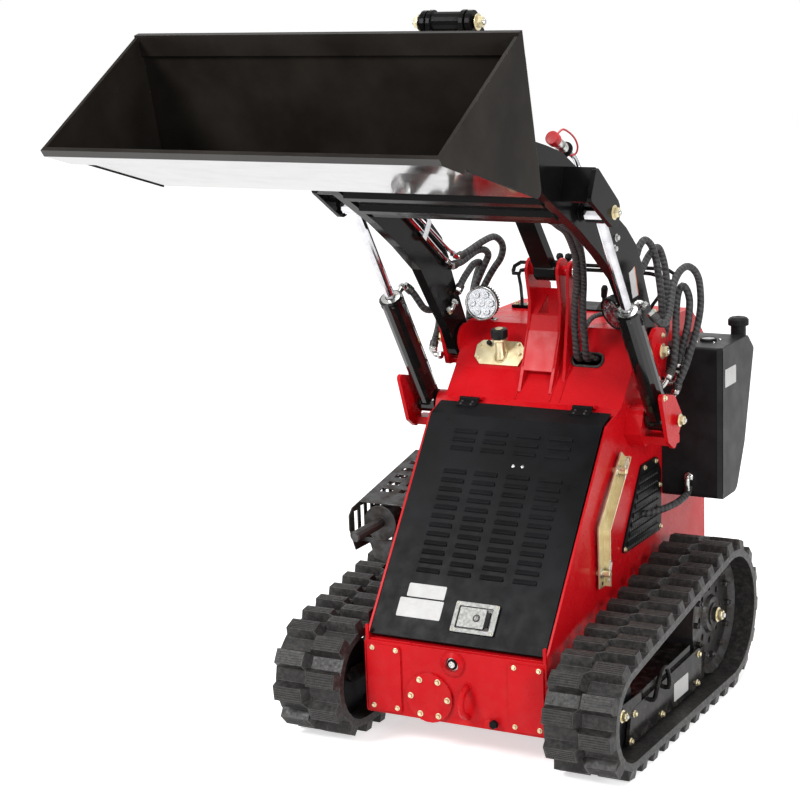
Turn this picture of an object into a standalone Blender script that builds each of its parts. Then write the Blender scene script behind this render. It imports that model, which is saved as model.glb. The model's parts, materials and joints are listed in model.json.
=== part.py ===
"""Mini skid steer loader, arms raised and bucket rolled back, as an assembly of named pieces.

Metres, +Z up.  The machine faces -Y and its left side is +X.  Sizes are written with y = 0 at the
front plate, z = 0 on the ground and x = 0 midway between the tracks.  The whole machine hangs on
one empty that moves it so that the origin is the bottom centre of its box.
"""
import math

import bpy
import bmesh
from mathutils import Matrix, Vector

# Clearances
GAP = 0.0003            # between pieces that touch
SWING = 0.0055          # between pieces that move past each other
RUNNING = 0.0007        # between a pin and its faceted bore

# Hull
SIDE_X = 0.240          # outer face of the side plates
SKIN = 0.006            # hull plate
FRONT_PLATE = 0.006     # bolted plate below the door
BELLY_Z = 0.077
LEDGE_Z = 0.258         # top of the front plate
HOOD_Z = 0.935
REAR_Y = 1.020
WALL_TOP = (0.590, HOOD_Z)      # steep wall in front of the hood
WALL_FOOT = (0.515, 0.830)
DOOR_HALF = 0.2315
DOOR_SHEET = 0.004
HINGE_X = 0.154         # middle of each hinge
HINGE_HALF = 0.026
HINGE_BARREL = 0.005
HINGE_STEPS = 10
LOUVRE_COLUMNS = (-0.122, -0.038, 0.0485, 0.135)
LOUVRE_HALF = 0.030
LOUVRE_PITCH = 0.0237
LOUVRE_ROWS = [0.173 + row * LOUVRE_PITCH for row in range(12)] + [0.496, 0.519, 0.542]
LATCH_X = (-0.022, 0.091)
LATCH_RUN = (0.031, 0.106)      # up the door from its lower edge

# Tracks
TRACK_OUTER_X = 0.4475
TRACK_INNER_X = 0.2675
LUG_PITCH = 0.072
LUG_HEIGHT = 0.024
BELT = 0.018
FRONT_WHEEL = (0.038, 0.145)     # y, z of the front idler
FRONT_REACH = 0.145              # its centre to the lug tips
DRIVE_WHEEL = (0.680, 0.195)
DRIVE_REACH = 0.195
FRAME_OUTER_X = 0.405
SPROCKET_X = 0.285               # inner edge of the drive sprocket
SPROCKET_BACK = SPROCKET_X + 0.030
LONGEST_FACET = 0.39             # of the belt, as a share of the pitch

# Two tall levers behind the tower
LEVER_Y = 0.892
LEVER_TOP = 1.058

# Tank on the left side
TANK_OUTER_X = 0.400
TANK_NECK = (0.366, 0.936)       # x, y

# Muffler on the right side
CAN = (-0.322, 0.476)            # x, z of its axis
CAN_RADIUS = 0.043
GUARD_X = -0.388

# Linkage, as (y, z)
ARM_PIVOT = (0.575, 0.890)
LINK_PIVOT = (0.560, 1.080)
CRANK_TOP = (0.070, 1.715)
ATTACH_PIVOT = (-0.335, 1.490)
ROD_EAR = (0.160, 1.288)
BARREL_BASE = (0.515, 0.735)
DOOR_HINGE = (0.4205, 0.7700)
CRANK_ARM = 0.100                # crank pivot to cylinder pin, and the same on the attach plate
CRANK_ARM_ANGLE = 78.0           # degrees above straight ahead

# Arms and cylinders
ARM_INNER_X = 0.250
ARM_PLATE = 0.025
ARM_OUTER_X = ARM_INNER_X + ARM_PLATE
PIVOT_PIN = 0.019
LIFT_X = 0.3155
LIFT_BARREL = 0.029
LIFT_ROD = 0.0125
LIFT_BARREL_LENGTH = 0.356
TILT_BARREL = 0.026
TILT_BARREL_LENGTH = 0.285
CYLINDER_PIN = 0.0125
EYE_HALF = 0.024

# Bucket and attach plate
BUCKET_HALF = 0.4475
BUCKET_PLATE = 0.008
BUCKET_TIP = (-0.850, 1.519)
BUCKET_HEEL = (-0.416, 1.392)
BUCKET_RIM = (-0.492, 1.727)
ATTACH_HALF = 0.235
ATTACH_PLATE = 0.012
PLATE_FOOT = 0.040               # lower and upper edge of the attach plate, up the bucket's back
PLATE_TOP = 0.300

# Lamps: x, y, z of the swivel, then the way the lamp faces
LAMP_X = 0.188
LAMP_Y = 0.590
LAMP_Z = 0.987
LAMP_RADIUS = 0.044
LAMP_DEPTH = 0.040

MIDDLE_Y = (REAR_Y + BUCKET_TIP[0]) / 2

MATERIALS = {
    # name: (colour, roughness, metallic)
    "red_paint": ((0.62, 0.012, 0.012), 0.28, 0.0),
    "black_paint": ((0.012, 0.012, 0.013), 0.22, 0.0),
    "black_satin": ((0.020, 0.020, 0.021), 0.50, 0.0),
    "dark_steel": ((0.060, 0.060, 0.065), 0.45, 0.8),
    "bright_steel": ((0.72, 0.72, 0.74), 0.16, 1.0),
    "gold_zinc": ((0.80, 0.62, 0.26), 0.35, 0.9),
    "rubber": ((0.030, 0.030, 0.032), 0.75, 0.0),
}


# Plane geometry, on points (a, b)

def add(point, vector, share=1.0):
    return (point[0] + vector[0] * share, point[1] + vector[1] * share)


def minus(point, other):
    return (point[0] - other[0], point[1] - other[1])


def length(vector):
    return math.hypot(vector[0], vector[1])


def unit(vector):
    size = length(vector)
    return (vector[0] / size, vector[1] / size)


def ahead(degrees):
    """The direction at this angle above straight ahead, which is -y."""
    return (-math.cos(math.radians(degrees)), math.sin(math.radians(degrees)))


def arc(centre, radius, start, end, steps=6):
    """Points of an arc; angles in degrees from the first axis to the second."""
    points = []
    for step in range(steps + 1):
        angle = math.radians(start + (end - start) * step / steps)
        points.append((centre[0] + radius * math.cos(angle), centre[1] + radius * math.sin(angle)))
    return points


def rounded(corners, steps=4):
    """Outline from (a, b, fillet radius) corners."""
    outline = []
    count = len(corners)
    for index, (a, b, radius) in enumerate(corners):
        here = (a, b)
        if radius <= 0:
            outline.append(here)
            continue
        before = unit(minus(corners[index - 1][:2], here))
        after = unit(minus(corners[(index + 1) % count][:2], here))
        half = math.acos(max(-1.0, min(1.0, before[0] * after[0] + before[1] * after[1]))) / 2
        run = radius / math.tan(half)
        bisector = unit(add(before, after))
        centre = add(here, bisector, radius / math.sin(half))
        first = minus(add(here, before, run), centre)
        last = minus(add(here, after, run), centre)
        start = math.atan2(first[1], first[0])
        sweep = math.atan2(last[1], last[0]) - start
        sweep = (sweep + math.pi) % (2 * math.pi) - math.pi
        for step in range(steps + 1):
            angle = start + sweep * step / steps
            outline.append((centre[0] + radius * math.cos(angle), centre[1] + radius * math.sin(angle)))
    return outline


def grown(outline, by):
    """The outline moved out by this much along its normals, or in if it is negative."""
    area = sum(p[0] * q[1] - q[0] * p[1] for p, q in zip(outline, outline[1:] + outline[:1]))
    sign = 1.0 if area > 0 else -1.0
    result = []
    for index, here in enumerate(outline):
        before = unit(minus(here, outline[index - 1]))
        after = unit(minus(outline[(index + 1) % len(outline)], here))
        normal_one = (before[1] * sign, -before[0] * sign)
        normal_two = (after[1] * sign, -after[0] * sign)
        middle = add(normal_one, normal_two)
        scale = by / (middle[0] * normal_one[0] + middle[1] * normal_one[1])
        result.append(add(here, middle, scale))
    return result


def hull(circles, steps=16):
    """Convex outline round (centre, radius) circles."""
    points = []
    for centre, radius in circles:
        if radius <= 0:
            points.append(centre)
        else:
            points.extend(arc(centre, radius, 0, 360 - 360 / steps, steps - 1))
    points = sorted(set((round(a, 6), round(b, 6)) for a, b in points))
    chains = []
    for ordered in (points, points[::-1]):
        chain = []
        for point in ordered:
            while len(chain) > 1:
                u = minus(chain[-1], chain[-2])
                v = minus(point, chain[-1])
                if u[0] * v[1] - u[1] * v[0] > 1e-9:
                    break
                chain.pop()
            chain.append(point)
        chains.append(chain[:-1])
    return chains[0] + chains[1]


def bar(start, end, half, begin, finish):
    """Rectangle along the line from start to end, from begin to finish along it."""
    along = unit(minus(end, start))
    across = (-along[1], along[0])
    near = add(start, along, begin)
    far = add(start, along, finish)
    return [add(near, across, -half), add(far, across, -half), add(far, across, half),
            add(near, across, half)]


# Solids

def to_space(axis, a, b, along):
    if axis == "X":
        return Vector((along, a, b))
    if axis == "Y":
        return Vector((a, along, b))
    return Vector((a, b, along))


def scratch(bm):
    """A temporary object from a bmesh, its faces turned out."""
    bmesh.ops.recalc_face_normals(bm, faces=bm.faces)
    mesh = bpy.data.meshes.new("scratch")
    bm.to_mesh(mesh)
    bm.free()
    item = bpy.data.objects.new("scratch", mesh)
    bpy.context.scene.collection.objects.link(item)
    return item


def prism(axis, outline, low, high):
    """Solid of this outline from low to high along an axis."""
    low, high = min(low, high), max(low, high)
    bm = bmesh.new()
    ends = [[bm.verts.new(to_space(axis, a, b, at)) for a, b in outline] for at in (low, high)]
    bm.faces.new(ends[0])
    bm.faces.new(ends[1])
    count = len(outline)
    for index in range(count):
        follow = (index + 1) % count
        bm.faces.new((ends[0][index], ends[0][follow], ends[1][follow], ends[1][index]))
    return scratch(bm)


def box(x, y, z):
    """Box from three (low, high) pairs."""
    x, y, z = sorted(x), sorted(y), sorted(z)
    return prism("Z", [(x[0], y[0]), (x[1], y[0]), (x[1], y[1]), (x[0], y[1])], z[0], z[1])


def frame_along(direction):
    """Matrix whose third column is this direction."""
    forward = direction.normalized()
    guide = Vector((1, 0, 0)) if abs(forward.x) < 0.9 else Vector((0, 0, 1))
    side = guide.cross(forward).normalized()
    return Matrix((side, forward.cross(side), forward)).transposed()


def turned(start, direction, profile, steps=20):
    """Solid of revolution from closed (radius, distance) points about a line through start."""
    turn = frame_along(Vector(direction))
    origin = Vector(start)
    bm = bmesh.new()
    rings = []
    for radius, along in profile:
        if radius <= 1e-9:
            rings.append([bm.verts.new(origin + turn @ Vector((0, 0, along)))] * steps)
            continue
        ring = []
        for step in range(steps):
            angle = 2 * math.pi * (step + 0.5) / steps
            ring.append(bm.verts.new(origin + turn @ Vector((radius * math.cos(angle),
                                                              radius * math.sin(angle), along))))
        rings.append(ring)
    count = len(rings)
    for index in range(count):
        one, two = rings[index], rings[(index + 1) % count]
        for step in range(steps):
            follow = (step + 1) % steps
            corners = []
            for corner in (one[step], one[follow], two[follow], two[step]):
                if corner not in corners:
                    corners.append(corner)
            if len(corners) > 2:
                bm.faces.new(corners)
    return scratch(bm)


def pin(axis, centre, radius, low, high, steps=16):
    """Round bar along X, Y or Z through centre (a, b)."""
    start = to_space(axis, centre[0], centre[1], min(low, high))
    direction = {"X": (1, 0, 0), "Y": (0, 1, 0), "Z": (0, 0, 1)}[axis]
    size = abs(high - low)
    return turned(start, direction, [(0, 0), (radius, 0), (radius, size), (0, size)], steps)


def smooth_route(points, spacing):
    """Points of a smooth curve through these, at about this spacing."""
    knots = [Vector(p) for p in points]
    padded = [knots[0] * 2 - knots[1]] + knots + [knots[-1] * 2 - knots[-2]]
    route = [knots[0]]
    for index in range(1, len(padded) - 2):
        p0, p1, p2, p3 = padded[index - 1:index + 3]
        steps = max(1, round((p2 - p1).length / spacing))
        for step in range(1, steps + 1):
            t = step / steps
            route.append(0.5 * (p1 * 2 + (p2 - p0) * t + (p0 * 2 - p1 * 5 + p2 * 4 - p3) * t * t
                                + (p1 * 3 - p0 - p2 * 3 + p3) * t ** 3))
    return route


def swept(route, radius, sides=8, closed=False):
    """Round tube along a list of points, without a twist."""
    points = [Vector(p) for p in route]
    count = len(points)
    bm = bmesh.new()
    rings = []
    side = None
    for index, point in enumerate(points):
        before = points[index - 1] if index or closed else point
        after = points[(index + 1) % count] if index < count - 1 or closed else point
        forward = (after - before).normalized()
        if side is None:
            side = frame_along(forward).col[0]
        side = (side - forward * side.dot(forward)).normalized()
        up = forward.cross(side)
        rings.append([bm.verts.new(point + (side * math.cos(2 * math.pi * k / sides)
                                            + up * math.sin(2 * math.pi * k / sides)) * radius)
                      for k in range(sides)])
    spans = count if closed else count - 1
    for index in range(spans):
        one, two = rings[index], rings[(index + 1) % count]
        for k in range(sides):
            bm.faces.new((one[k], one[(k + 1) % sides], two[(k + 1) % sides], two[k]))
    if not closed:
        bm.faces.new(rings[0])
        bm.faces.new(rings[-1])
    return scratch(bm)


def boolean(base, tool, operation):
    """Base with one exact boolean applied; the tool is used up."""
    modifier = base.modifiers.new("boolean", "BOOLEAN")
    modifier.operation = operation
    modifier.solver = "EXACT"
    modifier.object = tool
    graph = bpy.context.evaluated_depsgraph_get()
    mesh = bpy.data.meshes.new_from_object(base.evaluated_get(graph))
    base.modifiers.remove(modifier)
    old = base.data
    base.data = mesh
    bpy.data.meshes.remove(old)
    bpy.data.objects.remove(tool)
    return base


def fused(base, *others):
    for other in others:
        base = boolean(base, other, "UNION")
    return base


def cut(base, *tools):
    for tool in tools:
        base = boolean(base, tool, "DIFFERENCE")
    return base


# Bodies and named pieces

MACHINE = None
AXES = {}


def start_scene():
    for item in list(bpy.data.objects):
        bpy.data.objects.remove(item)
    root = bpy.data.objects.new("machine", None)
    root.location = (0, -MIDDLE_Y, 0)
    bpy.context.scene.collection.objects.link(root)
    return root


def body(name, parent, at):
    """Empty on a joint's axis, at machine coordinates, that carries a moving body."""
    axis = bpy.data.objects.new(name + "_axis", None)
    axis.empty_display_size = 0.05
    axis.parent = AXES[parent][0]
    axis.location = Vector(at) - AXES[parent][1]
    bpy.context.scene.collection.objects.link(axis)
    AXES[name] = (axis, Vector(at))


def material(name):
    if name in bpy.data.materials:
        return bpy.data.materials[name]
    colour, roughness, metallic = MATERIALS[name]
    made = bpy.data.materials.new(name)
    made.use_nodes = True
    shader = made.node_tree.nodes["Principled BSDF"]
    shader.inputs["Base Color"].default_value = (*colour, 1)
    shader.inputs["Roughness"].default_value = roughness
    shader.inputs["Metallic"].default_value = metallic
    made.diffuse_color = (*colour, 1)
    return made


def piece(name, item, paint, carried_by="chassis"):
    """Name a finished solid, tidy its mesh and hang it on its body."""
    mesh = item.data
    bm = bmesh.new()
    bm.from_mesh(mesh)
    bmesh.ops.remove_doubles(bm, verts=bm.verts, dist=0.00001)
    bmesh.ops.dissolve_limit(bm, angle_limit=math.radians(0.1), verts=bm.verts, edges=bm.edges)
    bmesh.ops.triangulate(bm, faces=[face for face in bm.faces if len(face.verts) > 4])
    bmesh.ops.recalc_face_normals(bm, faces=bm.faces)
    for face in bm.faces:
        face.smooth = True
    bm.to_mesh(mesh)
    bm.free()
    mesh.set_sharp_from_angle(angle=math.radians(35))
    mesh.name = name
    item.name = name
    mesh.materials.clear()
    mesh.materials.append(material(paint))
    axis, at = AXES[carried_by]
    mesh.transform(Matrix.Translation(-at))
    item.parent = axis
    item.location = (0, 0, 0)
    return item


SIDES = (("left", 1), ("right", -1))

# Points that follow from the driving ones
CRANK_PIVOT = minus(CRANK_TOP, minus(LINK_PIVOT, ARM_PIVOT))
CRANK_REACH = (ahead(CRANK_ARM_ANGLE)[0] * CRANK_ARM, ahead(CRANK_ARM_ANGLE)[1] * CRANK_ARM)
TILT_BASE = add(CRANK_PIVOT, CRANK_REACH)
TILT_EAR = add(ATTACH_PIVOT, CRANK_REACH)
BACK_UP = unit(minus(BUCKET_RIM, BUCKET_HEEL))
BACK_OUT = (BACK_UP[1], -BACK_UP[0])

HULL = [
    (FRONT_PLATE, BELLY_Z), (REAR_Y - 0.06, BELLY_Z), (REAR_Y, BELLY_Z + 0.07), (REAR_Y, HOOD_Z - 0.085),
    (0.985, HOOD_Z - 0.050), (0.925, HOOD_Z), WALL_TOP, WALL_FOOT, (0.455, 0.765), (0.366, 0.739),
    (FRONT_PLATE, 0.266),
]
DOOR_FACE = [(0.0100, 0.2720), (0.3590, 0.7420), (0.4150, 0.7620)]


def behind_bucket(along, off):
    """Point measured up the bucket's back from its heel, and out behind it."""
    return add(add(BUCKET_HEEL, BACK_UP, along), BACK_OUT, off)


# Hull pieces

def chassis_shell():
    shell = prism("X", HULL, -SIDE_X, SIDE_X)
    inside = grown(HULL, -SKIN)
    cavity = [
        *inside[:9], (0.420, 0.749), (0.420, 0.800), (0.300, 0.900), (-0.050, 0.500),
        (-0.050, LEDGE_Z + 0.004),
        (0.036, LEDGE_Z + 0.004), (0.036, LEDGE_Z - 0.004), (inside[0][0], LEDGE_Z - 0.004),
    ]
    shell = cut(shell, prism("X", cavity, -SIDE_X + SKIN, SIDE_X - SKIN))
    oval = hull([((0.090, 0.864), 0.0145), ((0.144, 0.864), 0.0145)])
    shell = cut(shell, prism("Y", oval, 0.45, 0.62))
    for side in (1, -1):
        shell = fused(shell, pin("X", ARM_PIVOT, 0.040, side * (SIDE_X - 0.002), side * (SIDE_X + 0.004)))
        rest = LAMP_X * side
        shell = fused(shell, pin("Z", (rest, LAMP_Y + 0.020), 0.010, HOOD_Z - 0.003,
                                 LAMP_Z - LAMP_RADIUS - GAP, 12))
        edge = DOOR_HINGE[0] + HINGE_BARREL * math.cos(math.pi / HINGE_STEPS) + GAP
        fixed_leaf = [(edge, DOOR_HINGE[1] - 0.0015), (edge, DOOR_HINGE[1] + 0.0015), (0.452, 0.7695),
                      (0.452, 0.7600)]
        shell = fused(shell, prism("X", fixed_leaf, side * HINGE_X - HINGE_HALF, side * HINGE_X + HINGE_HALF))
        motor = pin("X", DRIVE_WHEEL, 0.052, side * (SIDE_X - 0.002), side * (SPROCKET_BACK - GAP), 16)
        shell = fused(shell, motor)
    piece("chassis_shell", shell, "red_paint")


def front_plate():
    plate = box((-SIDE_X, SIDE_X), (0, FRONT_PLATE - GAP), (BELLY_Z, LEDGE_Z))
    for side in (1, -1):
        cover = rounded([(side * 0.143, 0.084, 0.006), (side * 0.234, 0.084, 0.006),
                         (side * 0.234, 0.250, 0.006), (side * 0.143, 0.250, 0.006)], 2)
        plate = fused(plate, prism("Y", cover, -0.005, 0.002))
    plate = fused(plate, pin("Y", (-0.067, 0.135), 0.062, -0.006, 0.002, 24))
    plate = fused(plate, turned((-0.003, -0.010, 0.227), (0, 1, 0),
                                [(0.018, 0), (0.030, 0.006), (0.030, 0.012), (0.018, 0.012)], 20))
    plate = fused(plate, pin("Y", (0.090, 0.094), 0.011, -0.007, 0.002, 12))
    hoop = [(0.033, 0.0035 - 0.038 * math.sin(math.radians(a)), 0.138 + 0.036 * math.cos(math.radians(a)))
            for a in range(0, 181, 20)]
    plate = fused(plate, swept(hoop, 0.0085, 8))
    piece("front_plate", plate, "red_paint")


def engine_door():
    inner = grown(DOOR_FACE + [(0.30, 0.40)], -DOOR_SHEET)[:3]
    sheet = prism("X", DOOR_FACE + inner[::-1], -DOOR_HALF, DOOR_HALF)
    slope = unit(minus(DOOR_FACE[1], DOOR_FACE[0]))
    out = (-slope[1], slope[0])
    for x in LOUVRE_COLUMNS:
        for at in LOUVRE_ROWS:
            foot = add(DOOR_FACE[0], slope, at - 0.006)
            tip = add(add(foot, slope, 0.003), out, 0.005)
            top = add(foot, slope, 0.013)
            wedge = [add(foot, out, -0.002), add(foot, out, 0.001), tip, add(top, out, 0.0005),
                     add(top, out, -0.002)]
            sheet = fused(sheet, prism("X", wedge, x - LOUVRE_HALF, x + LOUVRE_HALF))
    sheet = fused(sheet, latch_part(slope, out, 0.0, -0.002, 0.0055))
    sheet = cut(sheet, latch_part(slope, out, 0.008, 0.0015, 0.008))
    sheet = fused(sheet, latch_part(slope, out, 0.019, -0.001, 0.0050))
    for side in (1, -1):
        low, high = side * HINGE_X - HINGE_HALF, side * HINGE_X + HINGE_HALF
        leaf = prism("X", bar((0.4190, 0.7660), (0.390, 0.7540), 0.0025, 0.0, 0.027), low, high)
        barrel = pin("X", DOOR_HINGE, HINGE_BARREL, low, high, HINGE_STEPS)
        sheet = fused(sheet, leaf, barrel)
    piece("engine_door", sheet, "black_satin", "engine_door")


def latch_part(slope, out, inset, low, high):
    """Block of the door's latch, this far inside its frame, between two heights off the sheet."""
    start = add(DOOR_FACE[0], slope, LATCH_RUN[0] + inset)
    end = add(DOOR_FACE[0], slope, LATCH_RUN[1] - inset)
    outline = [add(start, out, low), add(end, out, low), add(end, out, high), add(start, out, high)]
    return prism("X", outline, LATCH_X[0] + inset, LATCH_X[1] - inset)


def tower():
    """Two welded cheeks with a curved front plate, an outer cheek and the link's pin."""
    edge = [(0.440, 0.740), (0.465, 0.768), (0.498, 0.843), (0.534, 0.930), (0.546, 1.000)]
    cheek = edge + arc(LINK_PIVOT, 0.032, 190, 30, 6) + [(0.625, 1.060), (0.666, 1.030), (0.680, 0.900)]
    hull_room = prism("X", grown(HULL, GAP), -0.3, 0.3)
    made = prism("X", cheek, 0.038, 0.046)
    made = fused(made, prism("X", cheek, -0.046, -0.038))
    front = [(0.494, 0.836), (0.534, 0.930), (0.545, 0.968), (0.590, 1.030), (0.597, 1.026), (0.552, 0.964),
             (0.542, 0.928), (0.502, 0.832)]
    made = fused(made, prism("X", front, -0.040, 0.040))
    made = cut(made, prism("Y", [(-0.020, 0.972), (0.008, 0.972), (-0.006, 1.016)], 0.530, 0.620))
    outer = [(0.480, 0.750), (0.505, 0.840), (0.520, 0.930), (0.535, 1.010)]
    outer = outer + arc(LINK_PIVOT, 0.026, 180, 20, 5) + [(0.598, 0.990), (0.620, 0.900)]
    made = fused(made, prism("X", outer, 0.064, 0.072))
    made = cut(made, hull_room)
    made = fused(made, pin("X", LINK_PIVOT, CYLINDER_PIN, -0.052, 0.078))
    piece("tower", made, "red_paint")


def fittings_on_hull():
    engine = box((-0.19, 0.17), (0.36, 0.86), (BELLY_Z + SKIN + GAP, 0.62))
    piece("engine_block", engine, "dark_steel")
    for name, side in SIDES:
        panel = rounded([(0.440, 0.400, 0.01), (0.572, 0.597, 0.01), (0.672, 0.597, 0.012),
                         (0.698, 0.555, 0.012),
                         (0.695, 0.400, 0.01)], 3)
        grille = prism("X", panel, side * (SIDE_X + GAP), side * (SIDE_X + 0.006))
        for row in range(8):
            z = 0.415 + row * 0.021
            low_y = 0.470 + row * 0.0125
            rib = box((side * (SIDE_X + 0.005), side * (SIDE_X + 0.010)), (low_y, 0.672), (z, z + 0.010))
            grille = fused(grille, rib)
        piece("side_grille_" + name, grille, "black_satin")
    piece("filler_plate", filler_plate(), "gold_zinc")


def filler_plate():
    """Plate with cut corners on the steep wall, with the filler neck that it holds."""
    wall = unit(minus(WALL_TOP, WALL_FOOT))
    out = (-wall[1], wall[0])
    wide, high, chamfer = 0.135, 0.080, 0.022
    corners = [(chamfer, 0), (wide - chamfer, 0), (wide, chamfer), (wide, high - chamfer),
               (wide - chamfer, high),
               (chamfer, high), (0, high - chamfer), (0, chamfer)]
    plate = prism("Z", corners, GAP, 0.005)
    neck = turned((0.090, 0.036, 0.003), (0, 0, 1),
                  [(0, 0), (0.016, 0), (0.014, 0.037), (0.019, 0.039), (0.019, 0.062), (0, 0.062)], 16)
    plate = fused(plate, neck)
    foot = add(WALL_FOOT, wall, 0.004)
    plate.data.transform(Matrix(((1, 0, 0, -0.195), (0, wall[0], out[0], foot[0]),
                                 (0, wall[1], out[1], foot[1]),
                                 (0, 0, 0, 1))))
    return plate


def tank():
    outline = rounded([(0.717, 0.485, 0.012), (0.830, 0.485, 0.03), (0.890, 0.600, 0.03),
                       (0.958, 0.835, 0.01),
                       (0.912, 0.875, 0.01), (0.717, 0.875, 0.008)], 3)
    made = prism("X", outline, SIDE_X + GAP, TANK_OUTER_X)
    bevel = [(TANK_OUTER_X - 0.012, 0.700), (TANK_OUTER_X - 0.012, 0.717), (TANK_OUTER_X, 0.729),
             (0.420, 0.700)]
    made = cut(made, prism("Z", bevel, 0.40, 0.90))
    made = fused(made, pin("Z", TANK_NECK, 0.0197, 0.820, 0.886, 18))
    piece("tank", made, "black_satin")
    cap = turned((*TANK_NECK, 0.886 + GAP), (0, 0, 1),
                 [(0, 0), (0.0197, 0), (0.0197, 0.007), (0.026, 0.009), (0.026, 0.024), (0.023, 0.028),
                  (0, 0.028)], 20)
    piece("tank_cap", cap, "black_satin")


def muffler():
    can = turned((CAN[0], 0.240, CAN[1]), (0, 1, 0),
                 [(0, 0), (CAN_RADIUS, 0), (CAN_RADIUS, 0.005), (CAN_RADIUS - 0.004, 0.008),
                  (CAN_RADIUS - 0.004, 0.232), (CAN_RADIUS - 0.010, 0.240), (0, 0.240)], 20)
    for y in (0.300, 0.420):
        can = fused(can, box((-SIDE_X - GAP, CAN[0] + 0.020), (y, y + 0.018), (0.462, 0.490)))
    tail = smooth_route([(CAN[0], 0.262, 0.480), (-0.323, 0.215, 0.476), (-0.333, 0.178, 0.470),
                         (-0.343, 0.145, 0.463)], 0.02)
    piece("muffler", fused(can, swept(tail, 0.0138, 10)), "dark_steel")
    piece("muffler_guard", muffler_guard(), "dark_steel")


def muffler_guard():
    """Pierced outer wall beside the muffler, with the roof that bolts it to the hull and an end plate."""
    top = [(0.560, 0.586), (0.252, 0.524), (0.214, 0.516)]
    wall = [(0.197, 0.500), (0.197, 0.463), (0.225, 0.404), (0.560, 0.404)] + top
    guard = prism("X", wall, GUARD_X, GUARD_X + 0.003)
    lip = [add(point, (0, -0.003)) for point in reversed(top[:2])]
    guard = fused(guard, prism("X", top[:2] + lip, GUARD_X + 0.001, -SIDE_X - GAP))
    shield = [(GUARD_X + 0.001, 0.420), (-0.361, 0.420), (-0.349, 0.381), (-0.318, 0.370),
              (-SIDE_X - GAP, 0.370),
              (-SIDE_X - GAP, 0.4315), (GUARD_X + 0.001, 0.4315)]
    guard = fused(guard, prism("Y", shield, 0.252, 0.255))
    slots = [(0.2215 + 0.033 * column, 0.436, 0.505 + 0.0066 * column) for column in range(3)]
    for column in range(3, 9):
        for row in range(3):
            top_z = 0.505 + 0.0066 * column - 0.0175 * row
            slots.append((0.2215 + 0.033 * column, top_z - 0.011, top_z))
    for y, low, high in slots:
        guard = cut(guard, box((GUARD_X - 0.01, GUARD_X + 0.01), (y, y + 0.019), (low, high)))
    for column in range(2, 8):
        y = 0.235 + 0.040 * column
        guard = cut(guard, box((-0.365, -0.330), (y, y + 0.020), (0.50, 0.60)))
        guard = cut(guard, box((-0.310, -0.275), (y, y + 0.020), (0.50, 0.60)))
    return guard


def controls():
    deck = rounded([(-0.135, 0.800, 0.012), (0.065, 0.800, 0.012), (0.065, 0.912, 0.012),
                    (-0.135, 0.912, 0.012)], 3)
    base = prism("Z", deck, HOOD_Z + GAP, HOOD_Z + 0.005)
    for x in (-0.115, -0.090):
        base = fused(base, pin("Z", (x, LEVER_Y), 0.0040, HOOD_Z + 0.003, LEVER_TOP, 6))
        base = fused(base, turned((x, LEVER_Y, LEVER_TOP - 0.010), (0, 0, 1),
                                  [(0, 0), (0.008, 0.003), (0.0105, 0.011), (0.008, 0.019), (0, 0.022)], 10))
    base = fused(base, turned((0.038, 0.820, HOOD_Z + 0.003), (0.12, -0.05, 1),
                              [(0, 0), (0.0045, 0), (0.0045, 0.030), (0.0080, 0.034), (0.0095, 0.056),
                               (0.006, 0.064),
                               (0, 0.066)], 10))
    piece("control_levers", base, "black_satin")
    piece("handle_bar", handle_bar(), "black_paint")


def handle_bar():
    """Two thin bars that meet in a loop at each end, on two bent posts."""
    # columns: distance in from the loop's end, y, z of the upper bar, y, z of the lower bar
    ends = [(0.0000, 0.853, 1.0220, 0.853, 1.0260), (0.0015, 0.858, 1.0340, 0.849, 1.0160),
            (0.0210, 0.857, 1.0455, 0.847, 1.0165), (0.0640, 0.850, 1.0465, 0.850, 1.0325)]
    low, high = -0.2335, 0.2225
    upper = [(low + x, y, z) for x, y, z, _, _ in ends]
    upper += [(high - x, y, z) for x, y, z, _, _ in reversed(ends)]
    lower = [(low + x, y, z) for x, _, _, y, z in ends]
    lower += [(high - x, y, z) for x, _, _, y, z in reversed(ends)]
    rail = fused(swept(smooth_route(upper, 0.03), 0.0055, 6), swept(smooth_route(lower, 0.03), 0.0055, 6))
    for side in (1, -1):
        middle = (low + high) / 2
        post = smooth_route([(middle + side * 0.211, 0.848, 1.0165), (middle + side * 0.199, 0.836, 0.985),
                             (middle + side * 0.185, 0.812, 0.958), (middle + side * 0.180, 0.802, 0.942)],
                            0.03)
        rail = fused(rail, swept(post, 0.0045, 6))
        foot = middle + side * 0.176
        rail = fused(rail, box((foot - 0.026, foot + 0.026), (0.784, 0.816), (HOOD_Z + GAP, HOOD_Z + 0.009)))
    for x in (-0.12, 0.12):
        rail = fused(rail, box((x - 0.008, x + 0.008), (0.846, 0.854), (1.030, 1.049)))
    return rail


def arm_brace():
    """Angle-iron strut that is stowed on two pins of the left side plate."""
    corners = [(0.436, 0.657), (0.297, 0.504), (0.298, 0.367)]
    outline = [(0.448, 0.649), (0.424, 0.667), (0.280, 0.512), (0.281, 0.360), (0.315, 0.360), (0.315, 0.498)]
    brace = prism("X", outline, SIDE_X + 0.010, SIDE_X + 0.014)
    web = [(0.4474, 0.6494), (0.4440, 0.6518), (0.3110, 0.5000), (0.3110, 0.3605), (0.3144, 0.3605),
           (0.3144, 0.4980)]
    brace = fused(brace, prism("X", web, SIDE_X + 0.012, SIDE_X + 0.030))
    for point in (add(corners[0], (-0.031, -0.033)), add(corners[2], (0, 0.028))):
        brace = fused(brace, pin("X", point, 0.008, SIDE_X + GAP, SIDE_X + 0.026, 12))
    piece("arm_brace", brace, "gold_zinc")


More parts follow.
